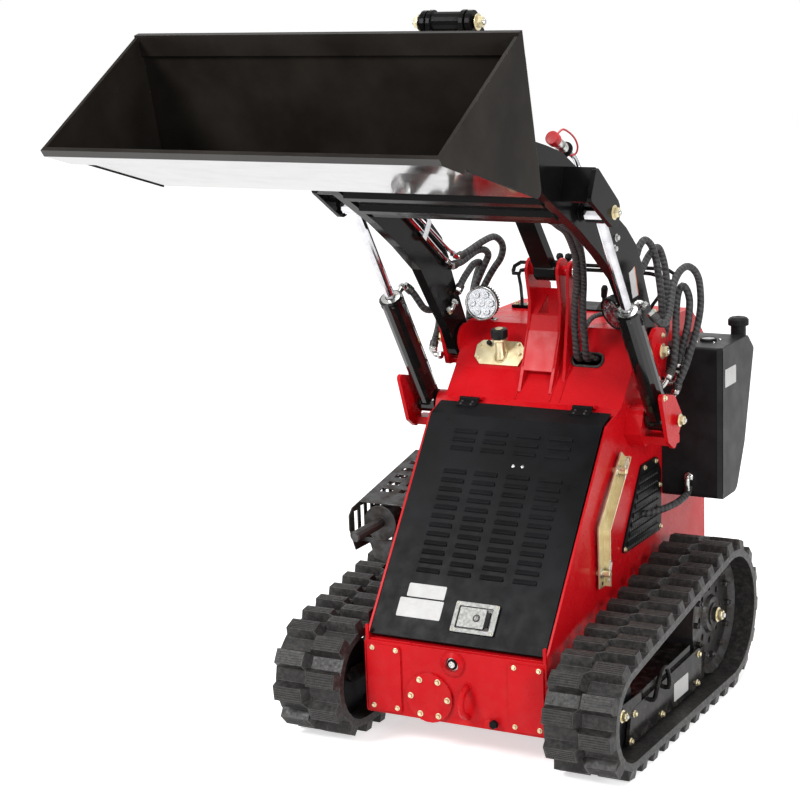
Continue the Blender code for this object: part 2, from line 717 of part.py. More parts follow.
def brackets():
    for name, side in SIDES:
        inner = hull([(BARREL_BASE, 0.030), ((0.470, 0.700), 0), ((0.545, 0.665), 0), ((0.500, 0.665), 0)])
        made = prism("X", inner, side * (SIDE_X + GAP), side * 0.2845)
        plate = rounded([(0.415, 0.820, 0.010), (0.504, 0.799, 0.014), (0.558, 0.735, 0.024),
                         (0.504, 0.662, 0.014),
                         (0.462, 0.690, 0.012)], 3)
        made = fused(made, prism("X", plate, side * 0.3505, side * 0.3605))
        made = fused(made, box((side * 0.280, side * 0.355), (0.497, 0.548), (0.672, 0.692)))
        made = fused(made, pin("X", BARREL_BASE, CYLINDER_PIN, side * 0.270, side * 0.370))
        piece("cylinder_bracket_" + name, made, "red_paint")

        edge = rounded([(0.528, 0.930, 0.01), (0.560, 0.822, 0.01), (0.614, 0.822, 0.01),
                        (0.634, 0.905, 0.012),
                        (0.612, 0.942, 0.012), (0.560, 0.950, 0.015)], 3)
        hood = prism("X", edge, side * (ARM_OUTER_X + SWING), side * 0.2925)
        web = box((side * (SIDE_X + GAP), side * 0.285), (0.572, 0.608), (0.824, 0.834))
        hood = fused(hood, web, pin("X", ARM_PIVOT, PIVOT_PIN, side * (SIDE_X + 0.0043), side * 0.302))
        piece("arm_bracket_" + name, hood, "red_paint")


# Undercarriage

def loop_length(inset):
    """Length of the belt line round both wheels, this far inside the lug tips."""
    return belt_line(inset)[1][-1]


def belt_line(inset, steps=40):
    """Points round both wheels and the distance to each, this far inside the lug tips."""
    front = FRONT_REACH - inset
    rear = DRIVE_REACH - inset
    apart = minus(DRIVE_WHEEL, FRONT_WHEEL)
    tilt = math.degrees(math.atan2(apart[1], apart[0]))
    lean = math.degrees(math.asin((rear - front) / length(apart)))
    top, bottom = 90 + tilt + lean, -90 + tilt - lean
    points = arc(DRIVE_WHEEL, rear, bottom, top, steps) + arc(FRONT_WHEEL, front, top, bottom + 360, steps)
    travel = [0.0]
    for one, two in zip(points, points[1:] + points[:1]):
        travel.append(travel[-1] + length(minus(two, one)))
    return points, travel


def rim_radius(reach):
    """Radius of the wheel that just touches the flat facets of the belt bent round it."""
    radius = reach - LUG_HEIGHT - BELT
    return radius - GAP - (LONGEST_FACET * LUG_PITCH) ** 2 / (8 * radius)


def along_line(points, travel, at):
    """Point and outward normal at this distance along a closed line."""
    at = at % travel[-1]
    index = 0
    while travel[index + 1] < at:
        index += 1
    one, two = points[index], points[(index + 1) % len(points)]
    way = unit(minus(two, one))
    return add(one, way, at - travel[index]), (way[1], -way[0])


def track(name, side):
    """Belt with two staggered rows of lugs, built station by station round the loop."""
    mid = LUG_HEIGHT + BELT
    points, travel = belt_line(mid)
    pitches = round(loop_length(LUG_HEIGHT) / LUG_PITCH)
    step = travel[-1] / pitches
    # columns of the tread: share of the width, row that it belongs to (0 outboard, 1 inboard, None plain)
    columns = [(0.00, None), (0.03, 0), (0.46, 0), (0.54, 1), (0.97, 1), (1.00, None)]
    # stations in one pitch: share of the pitch, row that stands up there
    stations = [(0.00, 1), (0.11, 0), (0.50, 0), (0.61, 1)]
    width = TRACK_OUTER_X - TRACK_INNER_X
    bm = bmesh.new()
    rings = []
    for pitch in range(pitches):
        for share, standing in stations:
            base, normal = along_line(points, travel, (pitch + share) * step)
            ring = []
            for place, row in columns:
                rise = BELT + (LUG_HEIGHT if row == standing else 0.0)
                spot = add(base, normal, rise)
                ring.append(bm.verts.new((side * (TRACK_OUTER_X - place * width), spot[0], spot[1])))
            for x in (TRACK_INNER_X, TRACK_OUTER_X):
                ring.append(bm.verts.new((side * x, base[0], base[1])))
            rings.append(ring)
    for index, one in enumerate(rings):
        two = rings[(index + 1) % len(rings)]
        for k in range(len(one)):
            follow = (k + 1) % len(one)
            bm.faces.new((one[k], one[follow], two[follow], two[k]))
    bmesh.ops.triangulate(bm, faces=bm.faces)
    piece("track_" + name, scratch(bm), "rubber")


def sprocket(name, side):
    rim = rim_radius(DRIVE_REACH)
    start = (side * SPROCKET_X, *DRIVE_WHEEL)
    profile = [(0, 0.030), (0.050, 0.030), (0.050, 0.082), (rim - 0.018, 0.082), (rim - 0.018, 0.0),
               (rim, 0.0),
               (rim, 0.110), (rim - 0.018, 0.096), (0.050, 0.096), (0.044, 0.106), (0.020, 0.106),
               (0.018, 0.120),
               (0, 0.120)]
    made = turned(start, (side, 0, 0), profile, 24)
    for step in range(8):
        angle = math.radians(45 * step)
        spot = add(DRIVE_WHEEL, (math.cos(angle), math.sin(angle)), 0.070)
        made = cut(made, pin("X", spot, 0.010, side * 0.35, side * 0.42, 8))
    for step in range(12):
        angle = math.radians(30 * step)
        spot = add(DRIVE_WHEEL, (math.cos(angle), math.sin(angle)), 0.108)
        made = fused(made, pin("X", spot, 0.0085, side * 0.375, side * 0.393, 6))
    piece("sprocket_" + name, made, "dark_steel")


def idler(name, side):
    rim = rim_radius(FRONT_REACH)
    profile = [(0.016, 0.0), (rim, 0.0), (rim, 0.028), (0.060, 0.032), (0.060, 0.050), (rim, 0.054),
               (rim, 0.080),
               (0.016, 0.080)]
    piece("idler_" + name, turned((side * 0.312, *FRONT_WHEEL), (side, 0, 0), profile, 24), "black_satin")


def track_frame(name, side):
    """Side beam with its outer plate, rollers, idler fork and the lugs that bolt it to the hull."""
    floor = BELT + LUG_HEIGHT + 0.003
    plate = rounded([(0.085, floor + 0.004, 0.01), (0.560, floor + 0.004, 0.01), (0.560, 0.150, 0.02),
                     (0.110, 0.135, 0.02)], 2)
    made = prism("X", plate, side * (FRAME_OUTER_X - 0.008), side * FRAME_OUTER_X)
    beam = [(0.150, 0.075), (0.500, 0.075), (0.500, 0.170), (0.150, 0.155)]
    made = fused(made, prism("X", beam, side * 0.300, side * 0.398))
    fold = [(side * x, y) for x, y in ((0.3972, 0.555), (0.4045, 0.555), (0.4010, 0.592), (0.3972, 0.592))]
    made = fused(made, prism("Z", fold, floor + 0.012, 0.142))
    for y in (0.200, 0.300, 0.400):
        made = fused(made, pin("X", (y, floor + 0.037), 0.036, side * 0.315, side * 0.345, 16))
        made = fused(made, pin("X", (y, floor + 0.037), 0.036, side * 0.365, side * 0.3945, 16))
    for y in (0.185, 0.455):
        made = fused(made, box((side * (SIDE_X + GAP), side * 0.310), (y, y + 0.050), (0.095, 0.145)))
    fork = rounded([(0.030, 0.125, 0.01), (0.170, 0.110, 0.01), (0.170, 0.160, 0.01), (0.030, 0.165, 0.01)],
                   2)
    made = fused(made, prism("X", fork, side * 0.303, side * 0.307))
    made = fused(made, pin("X", FRONT_WHEEL, 0.015, side * 0.303, side * 0.408, 14))
    made = fused(made, prism("X", fork, side * 0.4015, side * 0.4045))
    piece("track_frame_" + name, made, "black_paint")


# Arms and cylinders

def arm(name, side):
    lower = [(-0.150, 1.415), (-0.007, 1.331), (0.155, 1.243), (0.265, 1.172), (0.363, 1.100), (0.445, 0.995),
             (0.507, 0.922)]
    upper = [(0.590, 0.955), (0.550, 1.030), (0.525, 1.080), (0.515, 1.110), (0.480, 1.165), (0.420, 1.215),
             (0.370, 1.245), (0.180, 1.368), (0.060, 1.432), (-0.020, 1.455)]
    outline = lower + arc(ARM_PIVOT, 0.045, -150, 40, 8) + upper + arc(ATTACH_PIVOT, 0.042, 80, 275, 8)
    made = prism("X", outline, side * ARM_INNER_X, side * ARM_OUTER_X)
    ear = hull([(ROD_EAR, 0.034), ((0.070, 1.385), 0.012), ((0.045, 1.335), 0.012)])
    made = fused(made, prism("X", ear, side * 0.3445, side * 0.3555))
    face = bar((0.040, 1.325), (0.075, 1.400), 0.004, 0.0, 0.080)
    made = fused(made, prism("X", face, side * (ARM_OUTER_X - 0.003), side * 0.350))
    made = fused(made, pin("X", ROD_EAR, 0.020, side * (ARM_OUTER_X - 0.002), side * 0.284, 16))
    made = cut(made, pin("X", ARM_PIVOT, PIVOT_PIN + RUNNING, side * 0.2, side * 0.3))
    made = cut(made, pin("X", ATTACH_PIVOT, 0.020 + RUNNING, side * 0.2, side * 0.3))
    piece("arm_" + name, made, "black_paint", "lift_arms")


def arm_tubes():
    """Two hard oil lines along the inner face of the right arm, in their clamp."""
    x = -ARM_INNER_X + 0.009
    one = smooth_route([(x, 0.130, 1.318), (x, 0.210, 1.284), (x, 0.294, 1.240), (x, 0.440, 1.136),
                        (x, 0.500, 1.094)], 0.06)
    two = smooth_route([(x, 0.140, 1.345), (x, 0.230, 1.296), (x, 0.374, 1.212), (x, 0.470, 1.148),
                        (x, 0.535, 1.108)], 0.06)
    clamp = prism("X", bar((0.358, 1.178), (0.392, 1.222), 0.011, 0.0, 0.055), -ARM_INNER_X + GAP, x + 0.007)
    tubes = fused(clamp, swept(one, 0.0055, 8), swept(two, 0.0055, 8))
    for route in (one, two):
        way = (route[-1] - route[-2]).normalized()
        tubes = fused(tubes, turned(route[-1] - way * 0.020, way,
                                    [(0, 0), (0.0088, 0), (0.0088, 0.018), (0.0075, 0.026), (0, 0.026)], 6))
    piece("arm_tubes", tubes, "bright_steel", "lift_arms")


def cross_member():
    """Formed plate between the arms, ribbed lengthwise, with the two cheeks that carry the crank."""
    start, end = add(CRANK_PIVOT, (0.045, -0.263)), add(CRANK_PIVOT, (-0.215, -0.121))
    way = unit(minus(end, start))
    up = (-way[1], way[0])
    if up[1] < 0:
        up = (way[1], -way[0])
    run = length(minus(end, start))
    underside = [add(start, up, 0.0)]
    for rib in range(3):
        base = 0.035 + rib * 0.080
        for along, drop in ((0.0, 0.0), (0.010, -0.012), (0.030, -0.012), (0.040, 0.0)):
            underside.append(add(add(start, way, base + along), up, drop + 0.002))
    underside.append(add(end, up, 0.0))
    topside = [add(end, up, 0.040), add(start, up, 0.040)]
    made = prism("X", underside + topside, -(ARM_INNER_X - GAP), ARM_INNER_X - GAP)
    cheek = hull([(CRANK_PIVOT, 0.028), (add(CRANK_PIVOT, (-0.135, -0.130)), 0),
                  (add(CRANK_PIVOT, (0.040, -0.225)), 0)])
    for side in (1, -1):
        made = fused(made, prism("X", cheek, side * 0.051, side * 0.063))
    made = cut(made, pin("X", CRANK_PIVOT, CYLINDER_PIN + RUNNING, -0.1, 0.1))
    piece("cross_member", made, "black_paint", "lift_arms")


def cylinder(start, end, x, barrel_radius, rod_radius, barrel_length, rod_start, eye_radius, half):
    """Barrel and rod solids on the line from start to end at this x."""
    along = unit(minus(end, start))
    base = (x, start[0], start[1])
    way = (0, along[0], along[1])
    bore = rod_radius + GAP
    barrel = turned(base, way, [(0, 0.010), (barrel_radius, 0.010), (barrel_radius, barrel_length - 0.018),
                                (barrel_radius + 0.002, barrel_length - 0.018),
                                (barrel_radius + 0.002, barrel_length - 0.003),
                                (barrel_radius - 0.004, barrel_length), (bore, barrel_length), (bore, 0.045),
                                (0, 0.045)], 16)
    barrel = fused(barrel, pin("X", start, eye_radius, x - half, x + half))
    trim = prism("X", hull([(start, eye_radius + 0.02)]), x - half - 0.02, x - half)
    trim_two = prism("X", hull([(start, eye_radius + 0.02)]), x + half, x + half + 0.02)
    barrel = cut(barrel, trim, trim_two, pin("X", start, CYLINDER_PIN + RUNNING, x - 0.1, x + 0.1))
    reach = length(minus(end, start))
    rod = turned(base, way, [(0, rod_start), (rod_radius, rod_start), (rod_radius, reach - 0.008),
                             (0, reach - 0.008)], 16)
    rod = fused(rod, pin("X", end, eye_radius - 0.004, x - half, x + half))
    rod = cut(rod, pin("X", end, CYLINDER_PIN + RUNNING, x - 0.1, x + 0.1))
    return barrel, rod


def lift_cylinders():
    for name, side in SIDES:
        barrel, rod = cylinder(BARREL_BASE, ROD_EAR, side * LIFT_X, LIFT_BARREL, LIFT_ROD,
                               LIFT_BARREL_LENGTH, 0.272, 0.030,
                               EYE_HALF)
        piece("lift_barrel_" + name, barrel, "black_paint", "lift_barrel_" + name)
        piece("lift_rod_" + name, rod, "bright_steel", "lift_rod_" + name)


def level_link():
    reach = length(minus(CRANK_TOP, LINK_PIVOT))
    made = prism("X", bar(LINK_PIVOT, CRANK_TOP, 0.0135, 0.0, reach - 0.125), -0.025, 0.025)
    made = fused(made, pin("X", LINK_PIVOT, 0.026, -0.025, 0.033))
    made = fused(made, prism("X", bar(LINK_PIVOT, CRANK_TOP, 0.029, reach - 0.210, reach - 0.182), -0.0615,
                             0.0615))
    neck = bar(LINK_PIVOT, CRANK_TOP, 0.026, reach - 0.205, reach)
    fork = hull([(CRANK_TOP, 0.027), (neck[0], 0), (neck[3], 0)])
    for side in (1, -1):
        made = fused(made, prism("X", fork, side * 0.051, side * 0.063))
    made = cut(made, pin("X", LINK_PIVOT, CYLINDER_PIN + RUNNING, -0.1, 0.1))
    made = cut(made, pin("X", CRANK_TOP, CYLINDER_PIN + RUNNING, -0.1, 0.1))
    piece("level_link", made, "black_paint", "level_link")


def bell_crank():
    plate = hull([(CRANK_PIVOT, 0.028), (TILT_BASE, 0.026), (CRANK_TOP, 0.028)])
    made = prism("X", plate, 0.036, 0.046)
    made = fused(made, pin("X", CRANK_TOP, 0.024, -0.040, 0.040))
    made = fused(made, prism("X", plate, -0.046, -0.036))
    made = fused(made, pin("X", CRANK_TOP, CYLINDER_PIN, -0.072, 0.072))
    for side in (1, -1):
        made = fused(made, pin("X", CRANK_PIVOT, CYLINDER_PIN, side * 0.040, side * 0.068))
    made = cut(made, pin("X", TILT_BASE, CYLINDER_PIN + RUNNING, -0.1, 0.1))
    piece("bell_crank", made, "black_paint", "bell_crank")


def tilt_cylinder():
    piece("tilt_pin", pin("X", TILT_BASE, CYLINDER_PIN, -0.0495, 0.0495), "gold_zinc", "tilt_pin")
    barrel, rod = cylinder(TILT_BASE, TILT_EAR, 0.0, TILT_BARREL, LIFT_ROD, TILT_BARREL_LENGTH, 0.160, 0.026,
                           0.022)
    piece("tilt_barrel", barrel, "black_paint", "tilt_barrel")
    piece("tilt_rod", rod, "bright_steel", "tilt_rod")


def attach_plate():
    face = [behind_bucket(PLATE_FOOT, GAP), behind_bucket(PLATE_TOP, GAP),
            behind_bucket(PLATE_TOP, GAP + ATTACH_PLATE),
            behind_bucket(PLATE_FOOT, GAP + ATTACH_PLATE)]
    made = prism("X", face, -ATTACH_HALF, ATTACH_HALF)
    for side in (1, -1):
        lug = hull([(ATTACH_PIVOT, 0.032), (behind_bucket(0.042, 0.012), 0),
                    (behind_bucket(0.160, 0.012), 0)])
        made = fused(made, prism("X", lug, side * (ATTACH_HALF - 0.023), side * (ATTACH_HALF - 0.005)))
        ear = hull([(TILT_EAR, 0.026), (behind_bucket(0.100, 0.012), 0), (behind_bucket(0.250, 0.012), 0)])
        made = fused(made, prism("X", ear, side * 0.030, side * 0.042))
    made = cut(made, pin("X", ATTACH_PIVOT, 0.020 + RUNNING, -0.3, 0.3))
    made = cut(made, pin("X", TILT_EAR, CYLINDER_PIN, -0.1, 0.1, 16))
    piece("attach_plate", made, "black_paint", "attach_plate")
    shaft = pin("X", ATTACH_PIVOT, 0.020, -0.283, 0.283)
    piece("attach_shaft", shaft, "dark_steel", "attach_shaft")


def bucket():
    outer = [BUCKET_TIP, BUCKET_HEEL, BUCKET_RIM]
    floor_way = unit(minus(BUCKET_HEEL, BUCKET_TIP))
    floor_up = (-floor_way[1], floor_way[0])
    inner_heel = grown(outer, -BUCKET_PLATE)[1]
    cavity = [inner_heel, add(inner_heel, floor_way, -0.60), (-1.00, 1.95), add(inner_heel, BACK_UP, 0.45)]
    made = prism("X", rounded([(*BUCKET_TIP, 0), (*BUCKET_HEEL, 0.014), (*BUCKET_RIM, 0)], 4), -BUCKET_HALF,
                 BUCKET_HALF)
    room = rounded([(*cavity[0], 0.008)] + [(*point, 0) for point in cavity[1:]], 4)
    made = cut(made, prism("X", room, -BUCKET_HALF + BUCKET_PLATE, BUCKET_HALF - BUCKET_PLATE))
    edge = [BUCKET_TIP, add(BUCKET_TIP, floor_way, 0.105),
            add(add(BUCKET_TIP, floor_way, 0.105), floor_up, -0.010),
            add(add(BUCKET_TIP, floor_way, 0.014), floor_up, -0.010)]
    made = fused(made, prism("X", edge, -BUCKET_HALF, BUCKET_HALF))
    rim = bar(BUCKET_RIM, BUCKET_HEEL, 0.006, 0.0, 0.045)
    rim = [add(point, BACK_OUT, -0.010) for point in rim]
    made = fused(made, prism("X", rim, -BUCKET_HALF, BUCKET_HALF))
    hook = [behind_bucket(PLATE_TOP + GAP, -0.002), behind_bucket(PLATE_TOP + 0.020, -0.002),
            behind_bucket(PLATE_TOP + 0.020, 0.020), behind_bucket(PLATE_TOP + GAP, 0.024)]
    made = fused(made, prism("X", hook, -ATTACH_HALF, ATTACH_HALF))
    foot = [behind_bucket(PLATE_FOOT - 0.014, -0.004), behind_bucket(PLATE_FOOT - GAP, -0.004),
            behind_bucket(PLATE_FOOT - GAP, 0.020), behind_bucket(PLATE_FOOT - 0.012, 0.020)]
    made = fused(made, prism("X", foot, -ATTACH_HALF, ATTACH_HALF))
    piece("bucket", made, "black_paint", "attach_plate")


def lamps():
    # columns: side, x and y and z of the way that the lamp faces at rest
    facing = [("right", -1, (0.10, -1.0, -0.05)), ("left", 1, (-0.45, -0.85, -0.35))]
    for name, side, way in facing:
        forward = Vector(way).normalized()
        middle = Vector((side * LAMP_X, LAMP_Y, LAMP_Z))
        back = middle - forward * 0.012
        profile = [(0, 0), (0.018, 0), (0.022, 0.004)]
        for fin in range(2):
            base = 0.006 + fin * 0.010
            rim = 0.034 + 0.004 * fin
            profile += [(rim, base), (rim, base + 0.004), (rim - 0.010, base + 0.0045),
                        (rim - 0.010, base + 0.0095)]
        profile += [(LAMP_RADIUS, 0.028), (LAMP_RADIUS, LAMP_DEPTH), (LAMP_RADIUS - 0.004, LAMP_DEPTH),
                    (LAMP_RADIUS - 0.005, LAMP_DEPTH - 0.003), (0, LAMP_DEPTH - 0.003)]
        made = turned(back, way, profile, 18)
        stem = swept([(side * LAMP_X, LAMP_Y + 0.020, LAMP_Z - LAMP_RADIUS),
                      (side * LAMP_X, LAMP_Y + 0.020, LAMP_Z - 0.020), tuple(back + forward * 0.004)], 0.006,
                     6)
        piece("lamp_" + name, fused(made, stem), "black_satin", "lamp_" + name)


def make_bodies():
    AXES["chassis"] = (MACHINE, Vector((0, 0, 0)))
    pivots = [
        # body, parent, (y, z) of its axis
        ("engine_door", "chassis", DOOR_HINGE),
        ("lift_arms", "chassis", ARM_PIVOT),
        ("level_link", "chassis", LINK_PIVOT),
        ("bell_crank", "lift_arms", CRANK_PIVOT),
        ("tilt_pin", "bell_crank", TILT_BASE),
        ("tilt_barrel", "tilt_pin", TILT_BASE),
        ("tilt_rod", "tilt_barrel", TILT_EAR),
        ("attach_shaft", "lift_arms", ATTACH_PIVOT),
        ("attach_plate", "attach_shaft", ATTACH_PIVOT),
    ]
    for name, parent, (y, z) in pivots:
        body(name, parent, (0, y, z))
    for name, side in SIDES:
        x = side * LIFT_X
        body("lift_barrel_" + name, "chassis", (x, *BARREL_BASE))
        body("lift_rod_" + name, "lift_barrel_" + name, (x, *ROD_EAR))
        body("lamp_" + name, "chassis", (side * LAMP_X, LAMP_Y + 0.020, LAMP_Z))


MACHINE = start_scene()
make_bodies()
chassis_shell()
front_plate()
engine_door()
tower()
fittings_on_hull()
tank()
muffler()
controls()
arm_brace()
brackets()
for side_name, side_sign in SIDES:
    track(side_name, side_sign)
    sprocket(side_name, side_sign)
    idler(side_name, side_sign)
    track_frame(side_name, side_sign)
    arm(side_name, side_sign)
cross_member()
arm_tubes()
lift_cylinders()
level_link()
bell_crank()
tilt_cylinder()
attach_plate()
bucket()
lamps()
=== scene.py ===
"""Looks of the mini skid steer loader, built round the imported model.

Points written here are machine coordinates: x = 0 midway between the tracks, y = 0 at the front plate
and z = 0 on the ground.  M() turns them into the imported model's frame.  All sizes are in metres, apart
from the tables of hoses, which are in millimetres.
"""
import json
import math

import bpy
import bmesh
from mathutils import Matrix, Vector

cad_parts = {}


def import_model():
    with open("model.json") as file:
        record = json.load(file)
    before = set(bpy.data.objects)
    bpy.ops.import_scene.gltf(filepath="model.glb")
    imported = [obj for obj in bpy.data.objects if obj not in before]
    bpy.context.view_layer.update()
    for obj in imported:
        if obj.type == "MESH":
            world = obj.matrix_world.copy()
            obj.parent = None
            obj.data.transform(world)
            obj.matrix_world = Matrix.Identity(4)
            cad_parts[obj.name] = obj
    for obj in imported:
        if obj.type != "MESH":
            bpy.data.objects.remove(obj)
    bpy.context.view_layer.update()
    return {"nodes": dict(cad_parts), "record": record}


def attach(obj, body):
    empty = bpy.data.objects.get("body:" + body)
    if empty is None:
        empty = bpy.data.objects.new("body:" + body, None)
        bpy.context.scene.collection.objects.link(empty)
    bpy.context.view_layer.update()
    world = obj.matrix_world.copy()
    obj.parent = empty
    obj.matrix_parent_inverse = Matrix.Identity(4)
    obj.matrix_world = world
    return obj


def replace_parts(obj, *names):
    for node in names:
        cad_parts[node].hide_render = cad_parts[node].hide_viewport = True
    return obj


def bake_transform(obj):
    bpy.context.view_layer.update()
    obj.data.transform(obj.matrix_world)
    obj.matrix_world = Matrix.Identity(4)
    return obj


MIDDLE_Y = 0.085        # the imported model's origin lies this far behind the front plate

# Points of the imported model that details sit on, as (y, z)
FRONT_WHEEL = (0.038, 0.145)
DRIVE_WHEEL = (0.68, 0.195)
LINK_PIVOT = (0.56, 1.08)
CRANK_TOP = (0.07, 1.715)
CRANK_PIVOT = (0.085, 1.525)
TILT_BASE = (0.0642, 1.6228)
ATTACH_PIVOT = (-0.335, 1.49)
TILT_EAR = (-0.3558, 1.5878)
ROD_EAR = (0.16, 1.288)
BARREL_BASE = (0.515, 0.735)
BARREL_X = 0.3155        # of the lift barrels, from the middle
MUFFLER = (-0.322, 0.476)        # x, z of its axis
TANK_CAP = (0.366, 0.936)        # x, y
PORT, FLANGE = (-0.003, 0.227), (-0.067, 0.135)        # x, z on the front plate
BUCKET_TIP = (-0.85, 1.519)
BUCKET_HEEL = (-0.416, 1.392)
BUCKET_RIM = (-0.492, 1.727)
LAMP = (0.188, 0.59, 0.987)        # x, y, z of a lamp's middle

TRACK_WHEELS = ((FRONT_WHEEL, 0.145), (DRIVE_WHEEL, 0.195))        # centre, and reach to the lug tips
LUG_HEIGHT = 0.024
SPROCKET_BOLTS = 0.108        # radius of their circle
RIB_PITCH, RIB_WIDTH, RIB_HEIGHT = 0.0062, 0.0026, 0.0011

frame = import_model()
NODES = frame["nodes"]


def M(x, y, z):
    return Vector((x, y - MIDDLE_Y, z))


# Camera and light

def camera():
    data = bpy.data.cameras.new("camera")
    data.lens = 97.45
    data.sensor_width = 36.0
    data.shift_x = 0.0028
    data.shift_y = 0.025
    data.clip_end = 100
    item = bpy.data.objects.new("camera", data)
    right = Vector((0.87761957, 0.47809852, -0.03472323))
    up = Vector((-0.07717819, 0.2124204, 0.97412581))
    back = right.cross(up)
    turn = Matrix((right, up, back)).transposed().to_4x4()
    item.matrix_world = Matrix.Translation(M(2.2561, -4.2951, 1.9338)) @ turn
    bpy.context.scene.collection.objects.link(item)
    bpy.context.scene.camera = item


def area(name, at, aim, size, watts):
    data = bpy.data.lights.new(name, "AREA")
    data.shape = "SQUARE"
    data.size = size
    data.energy = watts
    item = bpy.data.objects.new(name, data)
    item.location = at
    item.rotation_euler = (Vector(aim) - Vector(at)).to_track_quat("-Z", "Y").to_euler()
    bpy.context.scene.collection.objects.link(item)


def seen_straight(tree):
    """Socket that is 1 where the camera, a gloss or glass looks, and 0 for the light on the rest."""
    path = tree.nodes.new("ShaderNodeLightPath")
    socket = path.outputs["Is Camera Ray"]
    for ray in ("Is Transmission Ray", "Is Glossy Ray"):
        larger = tree.nodes.new("ShaderNodeMath")
        larger.operation = "MAXIMUM"
        tree.links.new(socket, larger.inputs[0])
        tree.links.new(path.outputs[ray], larger.inputs[1])
        socket = larger.outputs[0]
    return socket


def world():
    """White where it is looked at, and a soft grey light on everything else."""
    made = bpy.data.worlds.new("world")
    bpy.context.scene.world = made
    made.use_nodes = True
    tree = made.node_tree
    strength = tree.nodes.new("ShaderNodeMapRange")
    strength.inputs["To Min"].default_value = 0.55
    strength.inputs["To Max"].default_value = 1.0
    tree.links.new(seen_straight(tree), strength.inputs["Value"])
    back = tree.nodes["Background"]
    tree.links.new(strength.outputs["Result"], back.inputs["Strength"])
    back.inputs["Color"].default_value = (1, 1, 1, 1)


def floor():
    """Pale ground that glows a little where it is looked at, so that it runs out into white."""
    bm = bmesh.new()
    bmesh.ops.create_grid(bm, x_segments=1, y_segments=1, size=14)
    mesh = bpy.data.meshes.new("floor")
    bm.to_mesh(mesh)
    bm.free()
    item = bpy.data.objects.new("floor", mesh)
    bpy.context.scene.collection.objects.link(item)
    made = Paint("floor", (0.86, 0.86, 0.86), 0.9, Emission_Color=(1, 1, 1, 1))
    made.link(made.times(seen_straight(made.tree), 0.6), "Emission Strength")
    mesh.materials.append(made.material)


# Materials

class Paint:
    """One material's node tree, with short names for the nodes that it is built from."""

    def __init__(self, name, base, rough, metal=0.0, **sockets):
        self.material = bpy.data.materials.new("look_" + name)
        self.material.use_nodes = True
        self.tree = self.material.node_tree
        self.shader = self.tree.nodes["Principled BSDF"]
        self.base = (*base, 1)
        self.set("Base Color", self.base)
        self.set("Roughness", rough)
        self.set("Metallic", metal)
        for socket, value in sockets.items():
            self.set(socket.replace("_", " "), value)
        self.material.diffuse_color = self.base
        self.place = self.tree.nodes.new("ShaderNodeTexCoord").outputs["Object"]

    def set(self, socket, value):
        self.shader.inputs[socket].default_value = value

    def link(self, output, socket):
        self.tree.links.new(output, self.shader.inputs[socket])

    def node(self, kind, inputs=None, **fields):
        made = self.tree.nodes.new(kind)
        for field, value in fields.items():
            setattr(made, field, value)
        for key, value in (inputs or {}).items():
            if isinstance(value, bpy.types.NodeSocket):
                self.tree.links.new(value, made.inputs[key])
            else:
                made.inputs[key].default_value = value
        return made

    def noise(self, scale, detail=4.0, rough=0.55, stretch=None):
        place = self.place
        if stretch:
            place = self.node("ShaderNodeMapping", {"Vector": place, "Scale": stretch}).outputs[0]
        return self.node("ShaderNodeTexNoise",
                         {"Vector": place, "Scale": scale, "Detail": detail,
                          "Roughness": rough}).outputs["Fac"]

    def ramp(self, value, low, high, bottom=0.0, top=1.0):
        return self.node("ShaderNodeMapRange",
                         {"Value": value, "From Min": low, "From Max": high, "To Min": bottom,
                          "To Max": top}).outputs["Result"]

    def math(self, operation, one, two=0.0):
        return self.node("ShaderNodeMath", {0: one, 1: two}, operation=operation).outputs[0]

    def times(self, one, two):
        return self.math("MULTIPLY", one, two)

    def height(self):
        return self.node("ShaderNodeSeparateXYZ", {0: self.place}).outputs["Z"]

    def mix(self, share, one, two):
        """Colour one where share is 0 and two where it is 1."""
        made = self.node("ShaderNodeMix", data_type="RGBA")
        for socket, value in ((0, share), (6, one), (7, two)):
            if isinstance(value, bpy.types.NodeSocket):
                self.tree.links.new(value, made.inputs[socket])
            elif socket:
                made.inputs[socket].default_value = (*value[:3], 1)
            else:
                made.inputs[socket].default_value = value
        return made.outputs[2]

    def patches(self, scale, detail, one, two, low=0.35, high=0.65):
        """Two colours in patches."""
        return self.mix(self.ramp(self.noise(scale, detail), low, high), one, two)

    def dust(self, top, foot, scale, detail, low, high):
        """Share of dust, from 0 at the height top to 1 at the height foot."""
        return self.times(self.ramp(self.height(), top, foot),
                          self.ramp(self.noise(scale, detail), low, high))

    def gloss(self, scale, detail, bottom, top, stretch=None):
        """Uneven roughness from bottom to top."""
        self.link(self.ramp(self.noise(scale, detail, stretch=stretch), 0.3, 0.7, bottom, top), "Roughness")

    def bump(self, height, strength, distance, normal=None):
        made = self.node("ShaderNodeBump", {"Height": height, "Strength": strength, "Distance": distance})
        if normal:
            self.tree.links.new(normal, made.inputs["Normal"])
        self.link(made.outputs[0], "Normal")


def worn_and_highlit_edges(made, radius=0.0016, low=0.02, high=0.16):
    """Rounded shading of the edges, and a mask that is 1 on them; the mask marks worn chips, and it also
    lightens edges as a painted highlight.
    """
    soft = made.node("ShaderNodeBevel", {"Radius": radius}, samples=4).outputs[0]
    plain = made.node("ShaderNodeNewGeometry").outputs["Normal"]
    same = made.node("ShaderNodeVectorMath", {0: soft, 1: plain}, operation="DOT_PRODUCT").outputs["Value"]
    return soft, made.ramp(made.math("SUBTRACT", 1.0, same), low, high)


